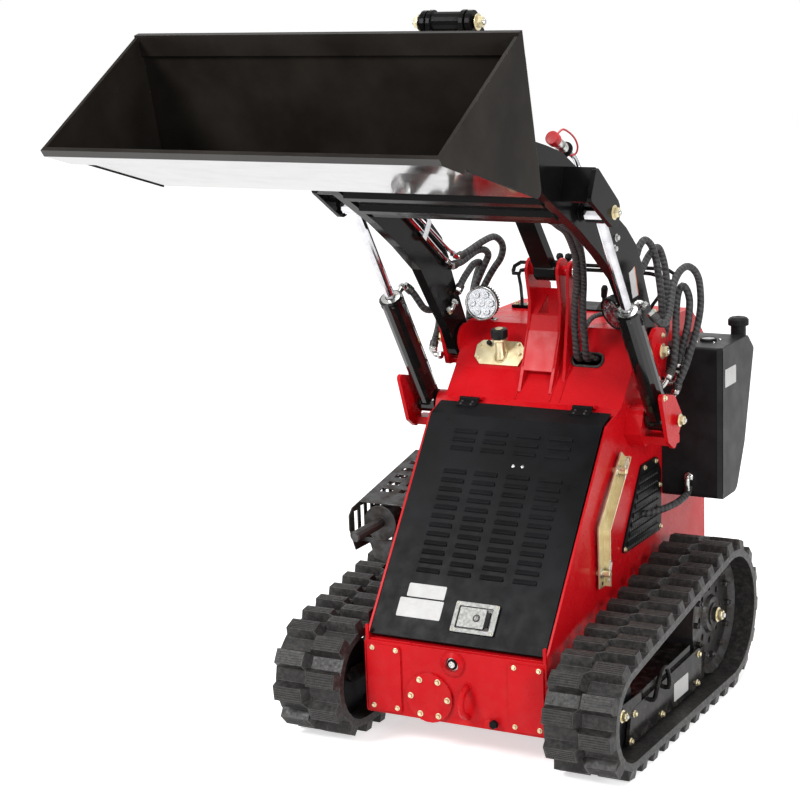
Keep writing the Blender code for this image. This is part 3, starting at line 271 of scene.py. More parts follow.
def red_paint():
    made = Paint("red_paint", (0.62, 0.006, 0.01), 0.25, IOR=1.22)
    soft, edge = worn_and_highlit_edges(made)
    tone = made.patches(5, 3, (0.5, 0.004, 0.008), (0.58, 0.006, 0.011))
    tone = made.mix(made.times(made.dust(0.32, 0.06, 38, 6, 0.42, 0.75), 0.07), tone, (0.3, 0.24, 0.2))
    chips = made.times(edge, made.ramp(made.noise(70, 6), 0.6, 0.66))
    made.link(made.mix(chips, tone, (0.2, 0.05, 0.04)), "Base Color")
    made.gloss(22, 5, 0.22, 0.36)
    made.bump(made.noise(420, 2), 0.05, 0.0004, soft)
    return made.material


def black_paint(name="black_paint", coat=0.0, under=False):
    """Black paint; coat is its clear coat, and under puts a mirror-like coat on what faces down."""
    made = Paint(name, (0.0045, 0.0043, 0.0044), 0.2, IOR=1.1 if under else 1.15, Coat_Weight=coat,
                 Coat_Roughness=0.05, Coat_IOR=2.0 if under else 1.5)
    soft, edge = worn_and_highlit_edges(made)
    dark, pale = (0.004, 0.0038, 0.004), (0.0085, 0.0078, 0.0075)
    if under:
        dark, pale = (0.013, 0.0108, 0.009), (0.023, 0.0195, 0.0165)
        normal = made.node("ShaderNodeNewGeometry").outputs["Normal"]
        facing = made.node("ShaderNodeSeparateXYZ", {0: normal}).outputs["Z"]
        made.link(made.ramp(facing, -0.5, -0.8, 0.0, 0.9), "Coat Weight")
    tone = made.patches(7, 5, dark, pale)
    tone = made.mix(made.times(made.dust(0.4, 0.04, 44, 7, 0.4, 0.72), 0.5), tone, (0.09, 0.078, 0.07))
    chips = made.times(edge, made.ramp(made.noise(55, 6), 0.58, 0.66))
    made.link(made.mix(chips, tone, (0.11, 0.1, 0.1)), "Base Color")
    made.gloss(14, 6, 0.1, 0.24)
    made.bump(made.noise(380, 2), 0.05, 0.0004, soft)
    return made.material


def black_satin():
    made = Paint("black_satin", (0.006, 0.006, 0.0062), 0.38, IOR=1.14)
    soft, edge = worn_and_highlit_edges(made, 0.0012)
    tone = made.patches(6, 6, (0.005, 0.005, 0.0052), (0.0095, 0.0098, 0.011), 0.35, 0.68)
    # painted edge highlight: every edge is lightened evenly towards grey
    made.link(made.mix(made.times(edge, 0.35), tone, (0.07, 0.07, 0.07)), "Base Color")
    made.gloss(30, 6, 0.26, 0.44)
    made.bump(made.noise(900, 2), 0.12, 0.0003, soft)
    return made.material


def dark_steel():
    made = Paint("dark_steel", (0.05, 0.048, 0.047), 0.42, 0.7)
    soft, edge = worn_and_highlit_edges(made)
    grime = made.ramp(made.noise(26, 8, 0.65), 0.42, 0.62)
    tone = made.mix(grime, (0.055, 0.054, 0.055), (0.032, 0.026, 0.022))
    # painted edge highlight: every edge is lightened evenly towards pale steel
    made.link(made.mix(made.times(edge, 0.5), tone, (0.22, 0.21, 0.2)), "Base Color")
    made.link(made.ramp(grime, 0.0, 1.0, 0.34, 0.62), "Roughness")
    made.bump(made.noise(210, 5), 0.15, 0.0004, soft)
    return made.material


def plain(name, base, rough, metal, edge, patches, gloss, grain, **sockets):
    """Look of two colours in patches, with an uneven gloss and a fine grain."""
    made = Paint(name, base, rough, metal, **sockets)
    soft = worn_and_highlit_edges(made, edge)[0] if edge else None
    made.link(made.patches(*patches), "Base Color")
    if gloss:
        made.gloss(*gloss)
    scale, strength, depth = grain
    made.bump(made.noise(scale, 2), strength, depth, soft)
    return made.material


def rubber():
    made = Paint("rubber", (0.022, 0.021, 0.021), 0.42, IOR=1.36)
    soft, edge = worn_and_highlit_edges(made, 0.0022)
    dust = made.ramp(made.noise(85, 8, 0.7), 0.44, 0.72)
    tone = made.mix(dust, (0.014, 0.0135, 0.0135), (0.058, 0.053, 0.049))
    # painted edge highlight: every edge of the rubber is lightened evenly
    made.link(made.mix(made.times(edge, 0.6), tone, (0.15, 0.142, 0.135)), "Base Color")
    made.gloss(120, 5, 0.3, 0.56)
    made.bump(made.noise(330, 5), 0.3, 0.0006, soft)
    return made.material


COIL_PITCH, FINE_PITCH = 0.0125, 0.0034        # of the hoses' sleeves


def hose_rubber():
    """Oil hose in a ribbed sleeve; the mesh's own map runs along the hose in metres."""
    made = Paint("hose", (0.03, 0.03, 0.031), 0.55, Specular_IOR_Level=0.4)
    axes = made.node("ShaderNodeSeparateXYZ", {0: made.tree.nodes["Texture Coordinate"].outputs["UV"]})
    coils = made.times(axes.outputs["Y"], 2 * math.pi / COIL_PITCH)
    turn = made.times(axes.outputs["X"], 2 * math.pi)
    wander = made.times(made.noise(30, 3), 5.0)
    rib = made.math("SINE", made.math("ADD", made.math("ADD", coils, turn), wander))
    fine = made.math("SINE", made.times(axes.outputs["Y"], 2 * math.pi / FINE_PITCH))
    # painted shade and highlight: the sleeve is darker in the grooves of its ribs and lighter on their crests
    tone = made.mix(made.ramp(rib, -0.9, 0.6), (0.01, 0.01, 0.011), (0.044, 0.044, 0.045))
    dust = made.times(made.ramp(made.noise(60, 6, 0.65), 0.48, 0.72), 0.6)
    made.link(made.mix(dust, tone, (0.085, 0.082, 0.08)), "Base Color")
    made.gloss(110, 4, 0.42, 0.62)
    made.bump(made.math("ADD", rib, made.times(fine, 0.25)), 0.7, 0.0016)
    return made.material


def reflector():
    made = Paint("reflector", (0.9, 0.9, 0.91), 0.07, 1.0)
    made.link(made.patches(500, 3, (0.66, 0.66, 0.67), (0.46, 0.46, 0.48)), "Base Color")
    facets = made.node("ShaderNodeTexVoronoi", {"Vector": made.place, "Scale": 330.0}).outputs["Color"]
    made.bump(facets, 0.5, 0.0012)
    return made.material


def lamp_glass():
    made = Paint("lamp_glass", (0.94, 0.95, 0.96), 0.03, Transmission_Weight=1.0, IOR=1.46)
    made.link(made.ramp(made.noise(80, 4), 0.35, 0.75, 0.02, 0.08), "Roughness")
    made.bump(made.noise(160, 2), 0.04, 0.0003)
    return made.material


# columns of plain(): name, base colour, roughness, metallic, radius of the edges, patches (noise scale and
# detail, two colours), gloss (noise scale and detail, least and most), grain (scale, strength, depth)
MATERIALS = [
    red_paint(),
    black_paint(),
    black_paint("black_gloss", 0.7),
    black_paint("bucket_paint", 0.0, True),
    black_satin(),
    dark_steel(),
    rubber(),
    hose_rubber(),
    reflector(),
    lamp_glass(),
    plain("bright_steel", (0.72, 0.72, 0.73), 0.12, 1.0, 0.0008,
          (40, 6, (0.6, 0.6, 0.62), (0.46, 0.46, 0.48)), (60, 6, 0.05, 0.12, (1, 1, 0.1)),
          (700, 0.03, 0.0002)),
    plain("silver", (0.5, 0.5, 0.49), 0.24, 1.0, 0.0006,
          (120, 5, (0.58, 0.585, 0.565), (0.38, 0.38, 0.365)), (200, 4, 0.16, 0.34), (900, 0.06, 0.0002)),
    plain("dull_silver", (0.275, 0.275, 0.2695), 0.24, 0.7, 0.0006,
          (120, 5, (0.319, 0.32175, 0.31075), (0.209, 0.209, 0.20075)), (200, 4, 0.48, 0.62),
          (900, 0.06, 0.0002)),
    plain("gold_zinc", (0.62, 0.46, 0.16), 0.3, 0.85, 0.0008, (34, 5, (0.74, 0.67, 0.45), (0.6, 0.5, 0.29)),
          (90, 4, 0.3, 0.46), (500, 0.05, 0.0002)),
    plain("black_plastic", (0.008, 0.008, 0.009), 0.34, 0.0, 0.0008,
          (26, 5, (0.009, 0.009, 0.0095), (0.015, 0.015, 0.016)), (18, 5, 0.28, 0.42), (600, 0.08, 0.0003),
          IOR=1.22),
    plain("label", (0.56, 0.56, 0.55), 0.38, 0.0, None,
          (24, 5, (0.58, 0.58, 0.575), (0.5, 0.49, 0.48), 0.35, 0.7), (80, 4, 0.3, 0.46),
          (300, 0.05, 0.0002), IOR=1.3),
    plain("orange", (0.7, 0.14, 0.01), 0.4, 0.0, None, (40, 4, (0.74, 0.16, 0.012), (0.58, 0.1, 0.01)),
          None, (300, 0.05, 0.0002)),
    plain("red_plastic", (0.52, 0.01, 0.014), 0.38, 0.0, None,
          (60, 4, (0.56, 0.012, 0.016), (0.42, 0.008, 0.012)), (90, 4, 0.3, 0.46), (500, 0.08, 0.0003)),
]
LOOKS = {material.name.removeprefix("look_"): material for material in MATERIALS}


NODE_LOOKS = {"bucket": "bucket_paint", "lift_barrel_left": "black_gloss",
              "lift_barrel_right": "black_gloss", "tilt_barrel": "black_gloss"}


def dress_nodes():
    """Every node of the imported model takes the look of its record's slot, or a special one."""
    for entry in frame["record"]["subparts"]:
        mesh = NODES[entry["node"]].data
        mesh.materials.clear()
        mesh.materials.append(LOOKS[NODE_LOOKS.get(entry["node"], entry["material_slot"])])


# Shapes of the detail pieces

SHARP_ANGLE = 40        # degrees from which an edge is sharp
SIDES = (("left", 1), ("right", -1))
ACROSS, AHEAD, BACK, UP = Vector((1, 0, 0)), Vector((0, -1, 0)), Vector((0, 1, 0)), Vector((0, 0, 1))


def turn_to(way):
    """Matrix whose third column is this direction."""
    forward = Vector(way).normalized()
    guide = ACROSS if abs(forward.x) < 0.9 else UP
    side = guide.cross(forward).normalized()
    return Matrix((side, forward.cross(side), forward)).transposed()


def smooth_route(points, spacing):
    """Points of a smooth curve through these, at about this spacing."""
    knots = [Vector(p) for p in points]
    padded = [knots[0] * 2 - knots[1]] + knots + [knots[-1] * 2 - knots[-2]]
    route = [knots[0]]
    for index in range(1, len(padded) - 2):
        p0, p1, p2, p3 = padded[index - 1:index + 3]
        steps = max(1, round((p2 - p1).length / spacing))
        for step in range(1, steps + 1):
            t = step / steps
            curve = p1 * 2 + (p2 - p0) * t + (p0 * 2 - p1 * 5 + p2 * 4 - p3) * t * t
            route.append(0.5 * (curve + (p1 * 3 - p0 - p2 * 3 + p3) * t ** 3))
    return route


def circle(steps, radius=1.0, turn=0.0):
    """Points of a circle, as pairs."""
    angles = [math.radians(turn) + 2 * math.pi * k / steps for k in range(steps)]
    return [(radius * math.cos(angle), radius * math.sin(angle)) for angle in angles]


def ring(middle, across, up, radius, step, start=0, stop=376):
    """Points on a circle in the plane of across and up, every so many degrees, a little past its start."""
    return [Vector(middle) + (Vector(across) * math.cos(angle) + Vector(up) * math.sin(angle)) * radius
            for angle in map(math.radians, range(start, stop, step))]


def mirrored(side, points):
    """These points of the left side, for side 1, or for side -1 those across from them."""
    return [(side * x, y, z) for x, y, z in points]


def toward(start, end):
    """Direction from one (y, z) point to another."""
    return Vector((0, end[0] - start[0], end[1] - start[1])).normalized()


class Shape:
    """Mesh of one piece, gathered from solids that are given in machine coordinates."""

    def __init__(self, name):
        self.name = name
        self.looks = []
        self.bm = bmesh.new()
        self.uv = self.bm.loops.layers.uv.new("along")

    def skin(self, rings, look, caps=True):
        """Close rings of points into a solid; the map runs round in u and along, in metres, in v."""
        if look not in self.looks:
            self.looks.append(look)
        slot = self.looks.index(look)
        count = len(rings[0])
        rows = [[self.bm.verts.new(M(*point)) for point in ring] for ring in rings]
        travel = 0.0
        for index in range(len(rows) - 1):
            one, two = rows[index], rows[index + 1]
            middle_one = sum((v.co for v in one), Vector()) / count
            middle_two = sum((v.co for v in two), Vector()) / count
            ahead = travel + (middle_two - middle_one).length
            for k in range(count):
                follow = (k + 1) % count
                face = self.bm.faces.new((one[k], one[follow], two[follow], two[k]))
                face.material_index = slot
                for loop, place in zip(face.loops,
                                       ((k, travel), (k + 1, travel), (k + 1, ahead), (k, ahead))):
                    loop[self.uv].uv = (place[0] / count, place[1])
            travel = ahead
        if caps:
            for row in (rows[0], rows[-1]):
                self.bm.faces.new(row).material_index = slot

    def turned(self, start, way, profile, look, steps=20):
        """Solid of revolution from (radius, distance) points about a line through start."""
        turn = turn_to(way)
        self.skin([[Vector(start) + turn @ Vector((a, b, along)) for a, b in circle(steps, radius)]
                   for radius,
                   along in profile],
                  look)

    def disc(self, start, way, radius, high, top, rise, look, steps=20):
        """Upright wall of this radius and height, then a bevel to the radius top at the height rise."""
        self.turned(start, way, [(radius, 0), (radius, high), (top, rise)], look, steps)

    def tube(self, points, radius, look, sides=12, spacing=0.006, swell=None):
        """Round tube on a smooth curve through these points; swell(distance) scales its radius."""
        route = smooth_route(points, spacing)
        rings = []
        side = None
        travel = 0.0
        for index, point in enumerate(route):
            before = route[max(index - 1, 0)]
            after = route[min(index + 1, len(route) - 1)]
            forward = (after - before).normalized()
            if side is None:
                side = turn_to(forward).col[0]
            side = (side - forward * side.dot(forward)).normalized()
            up = forward.cross(side)
            travel += (point - before).length if index else 0.0
            size = radius * (swell(travel) if swell else 1.0)
            rings.append([point + (side * a + up * b) * size for a, b in circle(sides)])
        self.skin(rings, look)

    def slab(self, corner, across, up, outline, thick, look, edge=0.0004):
        """Plate from an outline of (across, up) points, this thick along their cross product.

        edge is the width of the bevel round its outer face.
        """
        across, up = Vector(across).normalized(), Vector(up).normalized()
        out = across.cross(up)
        middle = (sum(a for a, b in outline) / len(outline), sum(b for a, b in outline) / len(outline))
        reach = max(math.hypot(a - middle[0], b - middle[1]) for a, b in outline)
        rings = []
        for inset, height in ((0, 0), (0, thick - edge), (edge, thick)):
            share = 1 - inset / reach
            rings.append([Vector(corner) + across * (middle[0] + (a - middle[0]) * share) + up
                          * (middle[1] + (b - middle[1]) * share) + out * height
                          for a,
                          b in outline])
        self.skin(rings, look)

    def panel(self, corner, across, up, corners, thick, look, edge=0.0004):
        """Plate with rounded corners; corners is its width, height and corner radius."""
        self.slab(corner, across, up, round_corners(*corners), thick, look, edge)

    def frame(self, corner, size, margins, thick, look):
        """Raised open frame on the door, with its left, lower, top and right margins."""
        left, low, top, right = margins
        outer = round_corners(*size, 0.004)
        inner = [(left + a, low + b) for a,
                 b in round_corners(size[0] - left - right, size[1] - low - top, 0.003)]
        rings = []
        for outline, height in ((outer, 0.0), (outer, thick), (inner, thick), (inner, -0.003)):
            rings.append([Vector(corner) + ACROSS * a + DOOR_UP * b + DOOR_OUT * height for a,
                          b in outline])
        self.skin(rings, look, caps=False)

    def bolt(self, at, way, size=0.006, look="gold_zinc", washer=True):
        """Hexagon head of this half width on a washer."""
        start = Vector(at)
        way = Vector(way).normalized()
        if washer:
            self.disc(start - way * 0.0004, way, size * 1.55, 0.0014, size * 1.4, 0.0019, look, 18)
        self.disc(start + way * 0.0012, way, size * 1.12, size * 0.75, size * 0.95, size, look, 6)

    def nut(self, at, way, size=0.011, look="gold_zinc"):
        """Hexagon nut on a washer, with the end of its pin standing out."""
        self.bolt(at, way, size, look)
        way = Vector(way).normalized()
        self.disc(Vector(at) + way * size, way, size * 0.55, size * 0.35, size * 0.42, size * 0.5, "silver",
                  14)

    def screw(self, at, way, size=0.005, look="silver"):
        """Low round head with a socket."""
        self.turned(Vector(at) - Vector(way).normalized() * 0.0004, way,
                    [(size, 0), (size, 0.0012), (size * 0.75, 0.0026), (size * 0.42, 0.0028),
                     (size * 0.36, 0.001)],
                    look, 14)

    def bead(self, points, radius, look="red_paint"):
        """Weld bead with its ripples."""
        self.tube(points, radius, look, 8, 0.0016,
                  lambda travel: 1.0 + 0.16 * math.sin(travel * 2 * math.pi / 0.0048))

    def elbow(self, points, radius=0.0085):
        """Zinc pipe elbow with a hexagon at each end."""
        self.tube(points, radius * 0.8, "silver", 12, 0.004)
        for end, other in ((points[0], points[1]), (points[-1], points[-2])):
            way = (Vector(other) - Vector(end)).normalized()
            self.turned(Vector(end), way,
                        [(radius * 1.1, 0), (radius * 1.25, 0.001), (radius * 1.25, 0.01),
                         (radius * 1.05, 0.012)],
                        "silver", 6)

    def ferrule(self, at, way, radius=0.0115, size=0.026):
        """Crimped sleeve at the end of a hose, with its hexagon behind."""
        way = Vector(way).normalized()
        start = Vector(at)
        self.turned(start, way,
                    [(radius * 0.9, 0), (radius * 0.95, 0.001), (radius * 0.95, 0.009),
                     (radius * 0.85, 0.01)],
                    "silver", 6)
        rings = [(radius * 0.8, 0.009)]
        for crimp in range(4):
            low = 0.01 + crimp * (size - 0.01) / 4
            rings += [(radius, low + 0.0006), (radius, low + 0.0028), (radius * 0.93, low + 0.0034)]
        self.turned(start, way, rings + [(radius * 0.85, size)], "dark_steel", 16)

    def done(self, body="chassis", blend=None):
        """Hand the mesh over as a piece that rides on one body, or, given blend, leave it in place on no body.
        """
        bmesh.ops.recalc_face_normals(self.bm, faces=self.bm.faces)
        for face in self.bm.faces:
            face.smooth = True
        mesh = bpy.data.meshes.new(self.name)
        self.bm.to_mesh(mesh)
        self.bm.free()
        mesh.set_sharp_from_angle(angle=math.radians(SHARP_ANGLE))
        for look in self.looks:
            mesh.materials.append(LOOKS[look])
        item = bpy.data.objects.new(self.name, mesh)
        bpy.context.scene.collection.objects.link(item)
        if blend:
            start, end = blend[2:]
            M(*start)
            M(*end)
            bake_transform(item)
        else:
            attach(item, body)
        return item


# Hoses and their fittings

HOSE, LAMP_CABLE = 0.009, 0.0062        # radii
ON_PIPE, ON_HULL, ON_FAR_BODY = 0.008, 0.0025, 0.02        # how far behind its hose's end a ferrule starts

# columns: name, other body, pipe elbow at the hull's end, route from the hull's end to the other, pipe
# elbow at the other end; all in machine coordinates, here in millimetres
HOSES = [
    ("hose_lift_left", "lift_barrel_left",
     [(240.5, 600, 772), (300, 600, 772), (319, 600, 775), (327, 600, 790)],
     [(327, 600, 790), (331, 600, 806), (337, 605, 820), (347, 615, 851), (356, 630, 894), (364, 645, 938),
      (371, 650, 984), (372, 650, 1024), (371, 640, 1062), (366, 622, 1087), (358, 598, 1099),
      (355, 562, 1095), (354, 532, 1080), (357, 502, 1057), (364, 472, 1030), (371, 442, 1007),
      (373, 412, 993), (366, 388, 1001), (352, 384, 1018)],
     [(315.5, 352, 1029), (315.5, 372, 1042), (324, 383, 1044), (338, 383, 1034)]),
    ("hose_lift_right", "lift_barrel_right",
     [(-292.5, 545, 848), (-312, 545, 848), (-319, 546, 854), (-320, 548, 866)],
     [(-320, 548, 866), (-320, 556, 881), (-320, 572, 902), (-319, 581, 924), (-315, 574, 946),
      (-307, 550, 962), (-298, 520, 971), (-291, 490, 976), (-289, 462, 981), (-289, 440, 992),
      (-293, 425, 1011), (-302, 414, 1032), (-311, 400, 1048)],
     [(-315.5, 352, 1029), (-315.5, 370, 1041), (-314.5, 390, 1053)]),
    ("hose_arm_left_outer", "lift_arms", None,
     [(243, 672, 864), (256, 672, 878), (269, 672, 915), (273, 675, 960), (270, 685, 1010),
      (262, 700, 1060), (250, 705, 1105), (243, 690, 1128), (240, 644, 1115), (239, 595, 1085),
      (238, 545, 1070), (239, 490, 1080)],
     [(249.8, 440, 1085), (240, 452, 1084), (239, 472, 1083)]),
    ("hose_arm_left_inner", "lift_arms", None,
     [(243, 648, 864), (256, 648, 878), (268, 647, 915), (272, 646, 960), (270, 647, 1010),
      (262, 652, 1060), (253, 655, 1105), (245, 645, 1140), (238, 621, 1156), (235, 595, 1144),
      (234, 572, 1120), (235, 530, 1112), (239, 470, 1120)],
     [(249.8, 424, 1125), (240, 434, 1124), (239, 454, 1122)]),
    ("hose_arm_right_one", "lift_arms", None,
     [(-243, 662, 864), (-256, 663, 885), (-264, 665, 925), (-257, 678, 965), (-245, 693, 1000),
      (-231, 702, 1031), (-218, 710, 1055), (-203, 715, 1078), (-194, 712, 1106), (-196, 700, 1127),
      (-205, 680, 1139), (-216, 640, 1132), (-228, 600, 1118), (-236, 578, 1110), (-241, 561, 1105.5)],
     None),
    ("hose_arm_right_two", "lift_arms", None,
     [(-243, 640, 864), (-256, 641, 885), (-262, 643, 920), (-262, 650, 960), (-255, 656, 990),
      (-246, 659, 1020), (-233, 660, 1048), (-221, 662, 1073), (-212, 662, 1094), (-216, 652, 1108),
      (-224, 628, 1111), (-229, 595, 1103), (-234, 565, 1093), (-238, 545, 1089), (-241, 526, 1088)],
     None),
    ("hose_arm_right_three", "lift_arms", None,
     [(-243, 690, 864), (-260, 690, 885), (-272, 690, 925), (-274, 686, 965), (-267, 681, 1000),
      (-256, 678, 1035), (-245, 674, 1060), (-238, 662, 1074), (-240, 635, 1074), (-240, 605, 1062),
      (-239.5, 570, 1043), (-239, 540, 1020)],
     [(-249.8, 496, 972), (-240, 504, 980), (-239, 518, 998)]),
    ("hose_centre_one", "lift_arms", None,
     [(96, 565, 863), (96, 538, 866), (98, 517, 880), (100, 508, 915), (101, 500, 960), (112, 480, 1016),
      (131, 450, 1073), (152, 400, 1138), (165, 350, 1181), (181, 280, 1222), (190, 220, 1244),
      (196, 164, 1267)],
     None),
    ("hose_centre_two", "lift_arms", None,
     [(118, 565, 864), (119, 538, 866), (122, 517, 880), (124, 508, 915), (124, 500, 960), (129, 488, 1015),
      (144, 460, 1072), (163, 410, 1137), (178, 360, 1180), (195, 290, 1221), (207, 225, 1243),
      (214, 164, 1267)],
     None),
]
FREE_NEAR_ENDS = ("hose_centre_one", "hose_centre_two")      # these go into the oval hole in the wall

# hoses with both ends on the hull; columns: name, elbow, route, elbow, in millimetres
SHORT_HOSES = [
    ("hose_link_left", [(240.5, 565, 800), (290, 565, 800), (306, 570, 808), (317, 580, 830)],
     [(317, 580, 830), (324, 588, 855), (327, 590, 880), (326, 600, 915), (323, 610, 956), (323, 615, 998),
      (326, 620, 1030), (336, 621, 1047), (346, 625, 1036), (351, 630, 1009), (349, 630, 971),
      (344, 631, 941), (336, 630, 909), (329, 628, 878), (325, 626, 850)],
     [(240.5, 626, 800), (298, 626, 800), (316, 626, 807), (323, 626, 830)]),
    ("hose_lamp", None,
     [(140, 560, 864), (135, 535, 870), (123, 519, 888), (113, 523, 918), (108, 550, 944), (108, 595, 960),
      (116, 645, 960), (142, 680, 950), (170, 690, 939), (188, 684, 934)],
     None),
    ("hose_tank", None,
     [(240.5, 575, 470), (262, 585, 472), (285, 615, 478), (302, 660, 484), (312, 705, 496),
      (315, 716, 516)],
     None),
]


def metres(points):
    """Points of a row of the tables, in metres; no elbow, None, stays None."""
    return points and [tuple(value / 1000 for value in point) for point in points]


def hose_end(shape, pipe, end, following, back):
    """Elbow, where there is one, and a ferrule that starts this far behind the end of the hose."""
    if pipe:
        shape.elbow(pipe)
    way = (Vector(following) - Vector(end)).normalized()
    shape.ferrule(Vector(end) - way * back, way)


def hoses():
    for name, far_body, near_pipe, route, far_pipe in HOSES:
        near_pipe, route, far_pipe = metres(near_pipe), metres(route), metres(far_pipe)
        shape = Shape(name)
        shape.tube(route, HOSE, "hose")
        shape.done(blend=("chassis", far_body, route[0], route[-1]))
        if name not in FREE_NEAR_ENDS:
            fitting = Shape(name + "_root")
            hose_end(fitting, near_pipe, route[0], route[1], ON_PIPE if near_pipe else ON_HULL)
            fitting.done()
        fitting = Shape(name + "_tip")
        hose_end(fitting, far_pipe, route[-1], route[-2], ON_PIPE if far_pipe else ON_FAR_BODY)
        fitting.done(far_body)
    for name, near_pipe, route, far_pipe in SHORT_HOSES:
        near_pipe, route, far_pipe = metres(near_pipe), metres(route), metres(far_pipe)
        shape = Shape(name)
        shape.tube(route, LAMP_CABLE if name == "hose_lamp" else HOSE, "hose")
        for pipe, end, following in ((near_pipe, route[0], route[1]), (far_pipe, route[-1], route[-2])):
            if pipe:
                hose_end(shape, pipe, end, following, ON_PIPE)
        shape.done()


# Engine door and front plate

DOOR_FOOT = (0.01, 0.272)        # y, z of the door's lower edge
DOOR_UP = Vector((0, 0.5962, 0.8029))        # up the door
DOOR_OUT = Vector((0, -0.8029, 0.5962))


def on_door(x, run, off=0.0):
    return Vector((x, *DOOR_FOOT)) + DOOR_UP * run + DOOR_OUT * off


def round_corners(wide, high, radius, steps=4):
    """Outline of a rectangle with rounded corners, from its lower left corner."""
    points = []
    for a, b, start in ((wide - radius, high - radius, 0), (radius, high - radius, 90),
                        (radius, radius, 180), (wide - radius, radius, 270)):
        for step in range(steps + 1):
            angle = math.radians(start + 90 * step / steps)
            points.append((a + radius * math.cos(angle), b + radius * math.sin(angle)))
    return points


def door_details():
    shape = Shape("door_screws")
    for x in (0.029, 0.053):
        shape.screw(on_door(x, 0.463), DOOR_OUT, 0.0048)
    leaf_down = Vector((0, -0.924, -0.383))
    leaf_out = Vector((0, -0.383, 0.924))
    for side in (1, -1):
        for x in (-0.014, 0.014):
            for run in (0.0105, 0.0215):
                at = Vector((side * 0.154 + x, 0.419, 0.766)) + leaf_down * run + leaf_out * 0.0025
                shape.screw(at, leaf_out, 0.0036, "dark_steel")
    shape.done("engine_door")
    labels = Shape("door_labels")
    for x, run, wide, high in ((-0.161, 0.104, 0.101, 0.034), (-0.176, 0.052, 0.118, 0.048)):
        labels.panel(on_door(x, run, -0.0003), ACROSS, DOOR_UP, (wide, high, 0.003), 0.0009, "label",
                     0.0002)
    labels.done("engine_door")
    latch = Shape("door_latch")
    latch.frame(on_door(-0.0225, 0.0305, 0.0045), (0.114, 0.076), (0.01, 0.0095, 0.01, 0.014), 0.0016,
                "dull_silver")
    latch.panel(on_door(-0.0128, 0.0405, 0.0012), ACROSS, DOOR_UP, (0.09, 0.056, 0.003), 0.0008,
                "dark_steel")
    latch.panel(on_door(-0.0085, 0.044, 0.0046), ACROSS, DOOR_UP, (0.07, 0.05, 0.003), 0.0018,
                "dull_silver", 0.0008)
    for x, run in ((-0.0175, 0.0355), (0.086, 0.0355), (-0.0175, 0.1015), (0.086, 0.1015)):
        latch.screw(on_door(x, run, 0.0058), DOOR_OUT, 0.0026, "gold_zinc")
    middle = on_door(0.039, 0.069, 0.0062)
    latch.turned(middle, DOOR_OUT,
                 [(0.0092, 0), (0.0092, 0.0012), (0.0082, 0.002), (0.0066, 0.002), (0.0062, 0.0006)],
                 "dark_steel", 24)
    latch.turned(middle, DOOR_OUT, [(0.006, 0), (0.006, 0.0016), (0.0052, 0.0022), (0.0012, 0.0022)],
                 "dull_silver", 20)
    latch.panel(on_door(0.0382, 0.065, 0.0082), ACROSS, DOOR_UP, (0.0016, 0.008, 0.0007), 0.0006,
                "dark_steel", 0.0001)
    latch.done("engine_door")


LOBES, LOBE_STEPS = 7, 56        # of the filler's cap, and the points round it


def filler():
    """Plate, upright neck and lobed cap of the oil filler; they stand for the plain neck of the model."""
    wall = Vector((0, 0.5812, 0.8137))
    out = Vector((0, -0.8137, 0.5812))
    foot = Vector((-0.195, 0.515, 0.83)) + wall * 0.004

    def on_plate(a, b, off):
        return foot + ACROSS * a + wall * b + out * off

    plate = Shape("filler_neck")
    outline = [(0.022, 0.004), (0.13, 0.004), (0.139, 0.028), (0.136, 0.056), (0.122, 0.071),
               (0.018, 0.071), (0.003, 0.056), (0.003, 0.024)]
    plate.slab(on_plate(0, 0, 0.001), ACROSS, wall, outline, 0.0045, "gold_zinc", 0.0008)
    for a, b in ((0.016, 0.02), (0.014, 0.056), (0.127, 0.036), (0.118, 0.062), (0.06, 0.064)):
        plate.bolt(on_plate(a, b, 0.0055), out, 0.004)
    lean = Vector((0, -0.1066, 1.0)).normalized()
    base = on_plate(0.0765, 0.025, 0.0)
    plate.turned(base, lean,
                 [(0.015, 0), (0.015, 0.01), (0.0125, 0.013), (0.0125, 0.044), (0.019, 0.047),
                  (0.019, 0.052), (0.015, 0.054)],
                 "gold_zinc", 28)
    plate.bead(ring(on_plate(0.0765, 0.0285, 0.0058), ACROSS * 0.016, wall * 0.0185, 1, 20), 0.002,
               "gold_zinc")
    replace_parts(plate.done(), "filler_plate")
    cap = Shape("filler_cap")
    turn = turn_to(lean)
    rings = []
    for radius, height in ((0.019, 0.0545), (0.0215, 0.056), (0.022, 0.074), (0.02, 0.077), (0.012, 0.078)):
        lobes = 0.0022 if 0.055 < height < 0.0765 else 0.0
        points = []
        for k, (a, b) in enumerate(circle(LOBE_STEPS)):
            size = radius - lobes * (0.5 - 0.5 * math.cos(LOBES * 2 * math.pi * k / LOBE_STEPS)) ** 3
            points.append(base + turn @ Vector((size * a, size * b, height)))
        rings.append(points)
    cap.skin(rings, "black_plastic")
    cap.disc(base + lean * 0.0779, lean, 0.0105, 0.0012, 0.0092, 0.0018, "gold_zinc", 24)
    cap.turned(on_plate(0.0392, 0.06, 0.0055), out,
               [(0.005, 0), (0.005, 0.004), (0.0065, 0.005), (0.0065, 0.01), (0.005, 0.012)],
               "black_plastic", 20)
    cap.done()


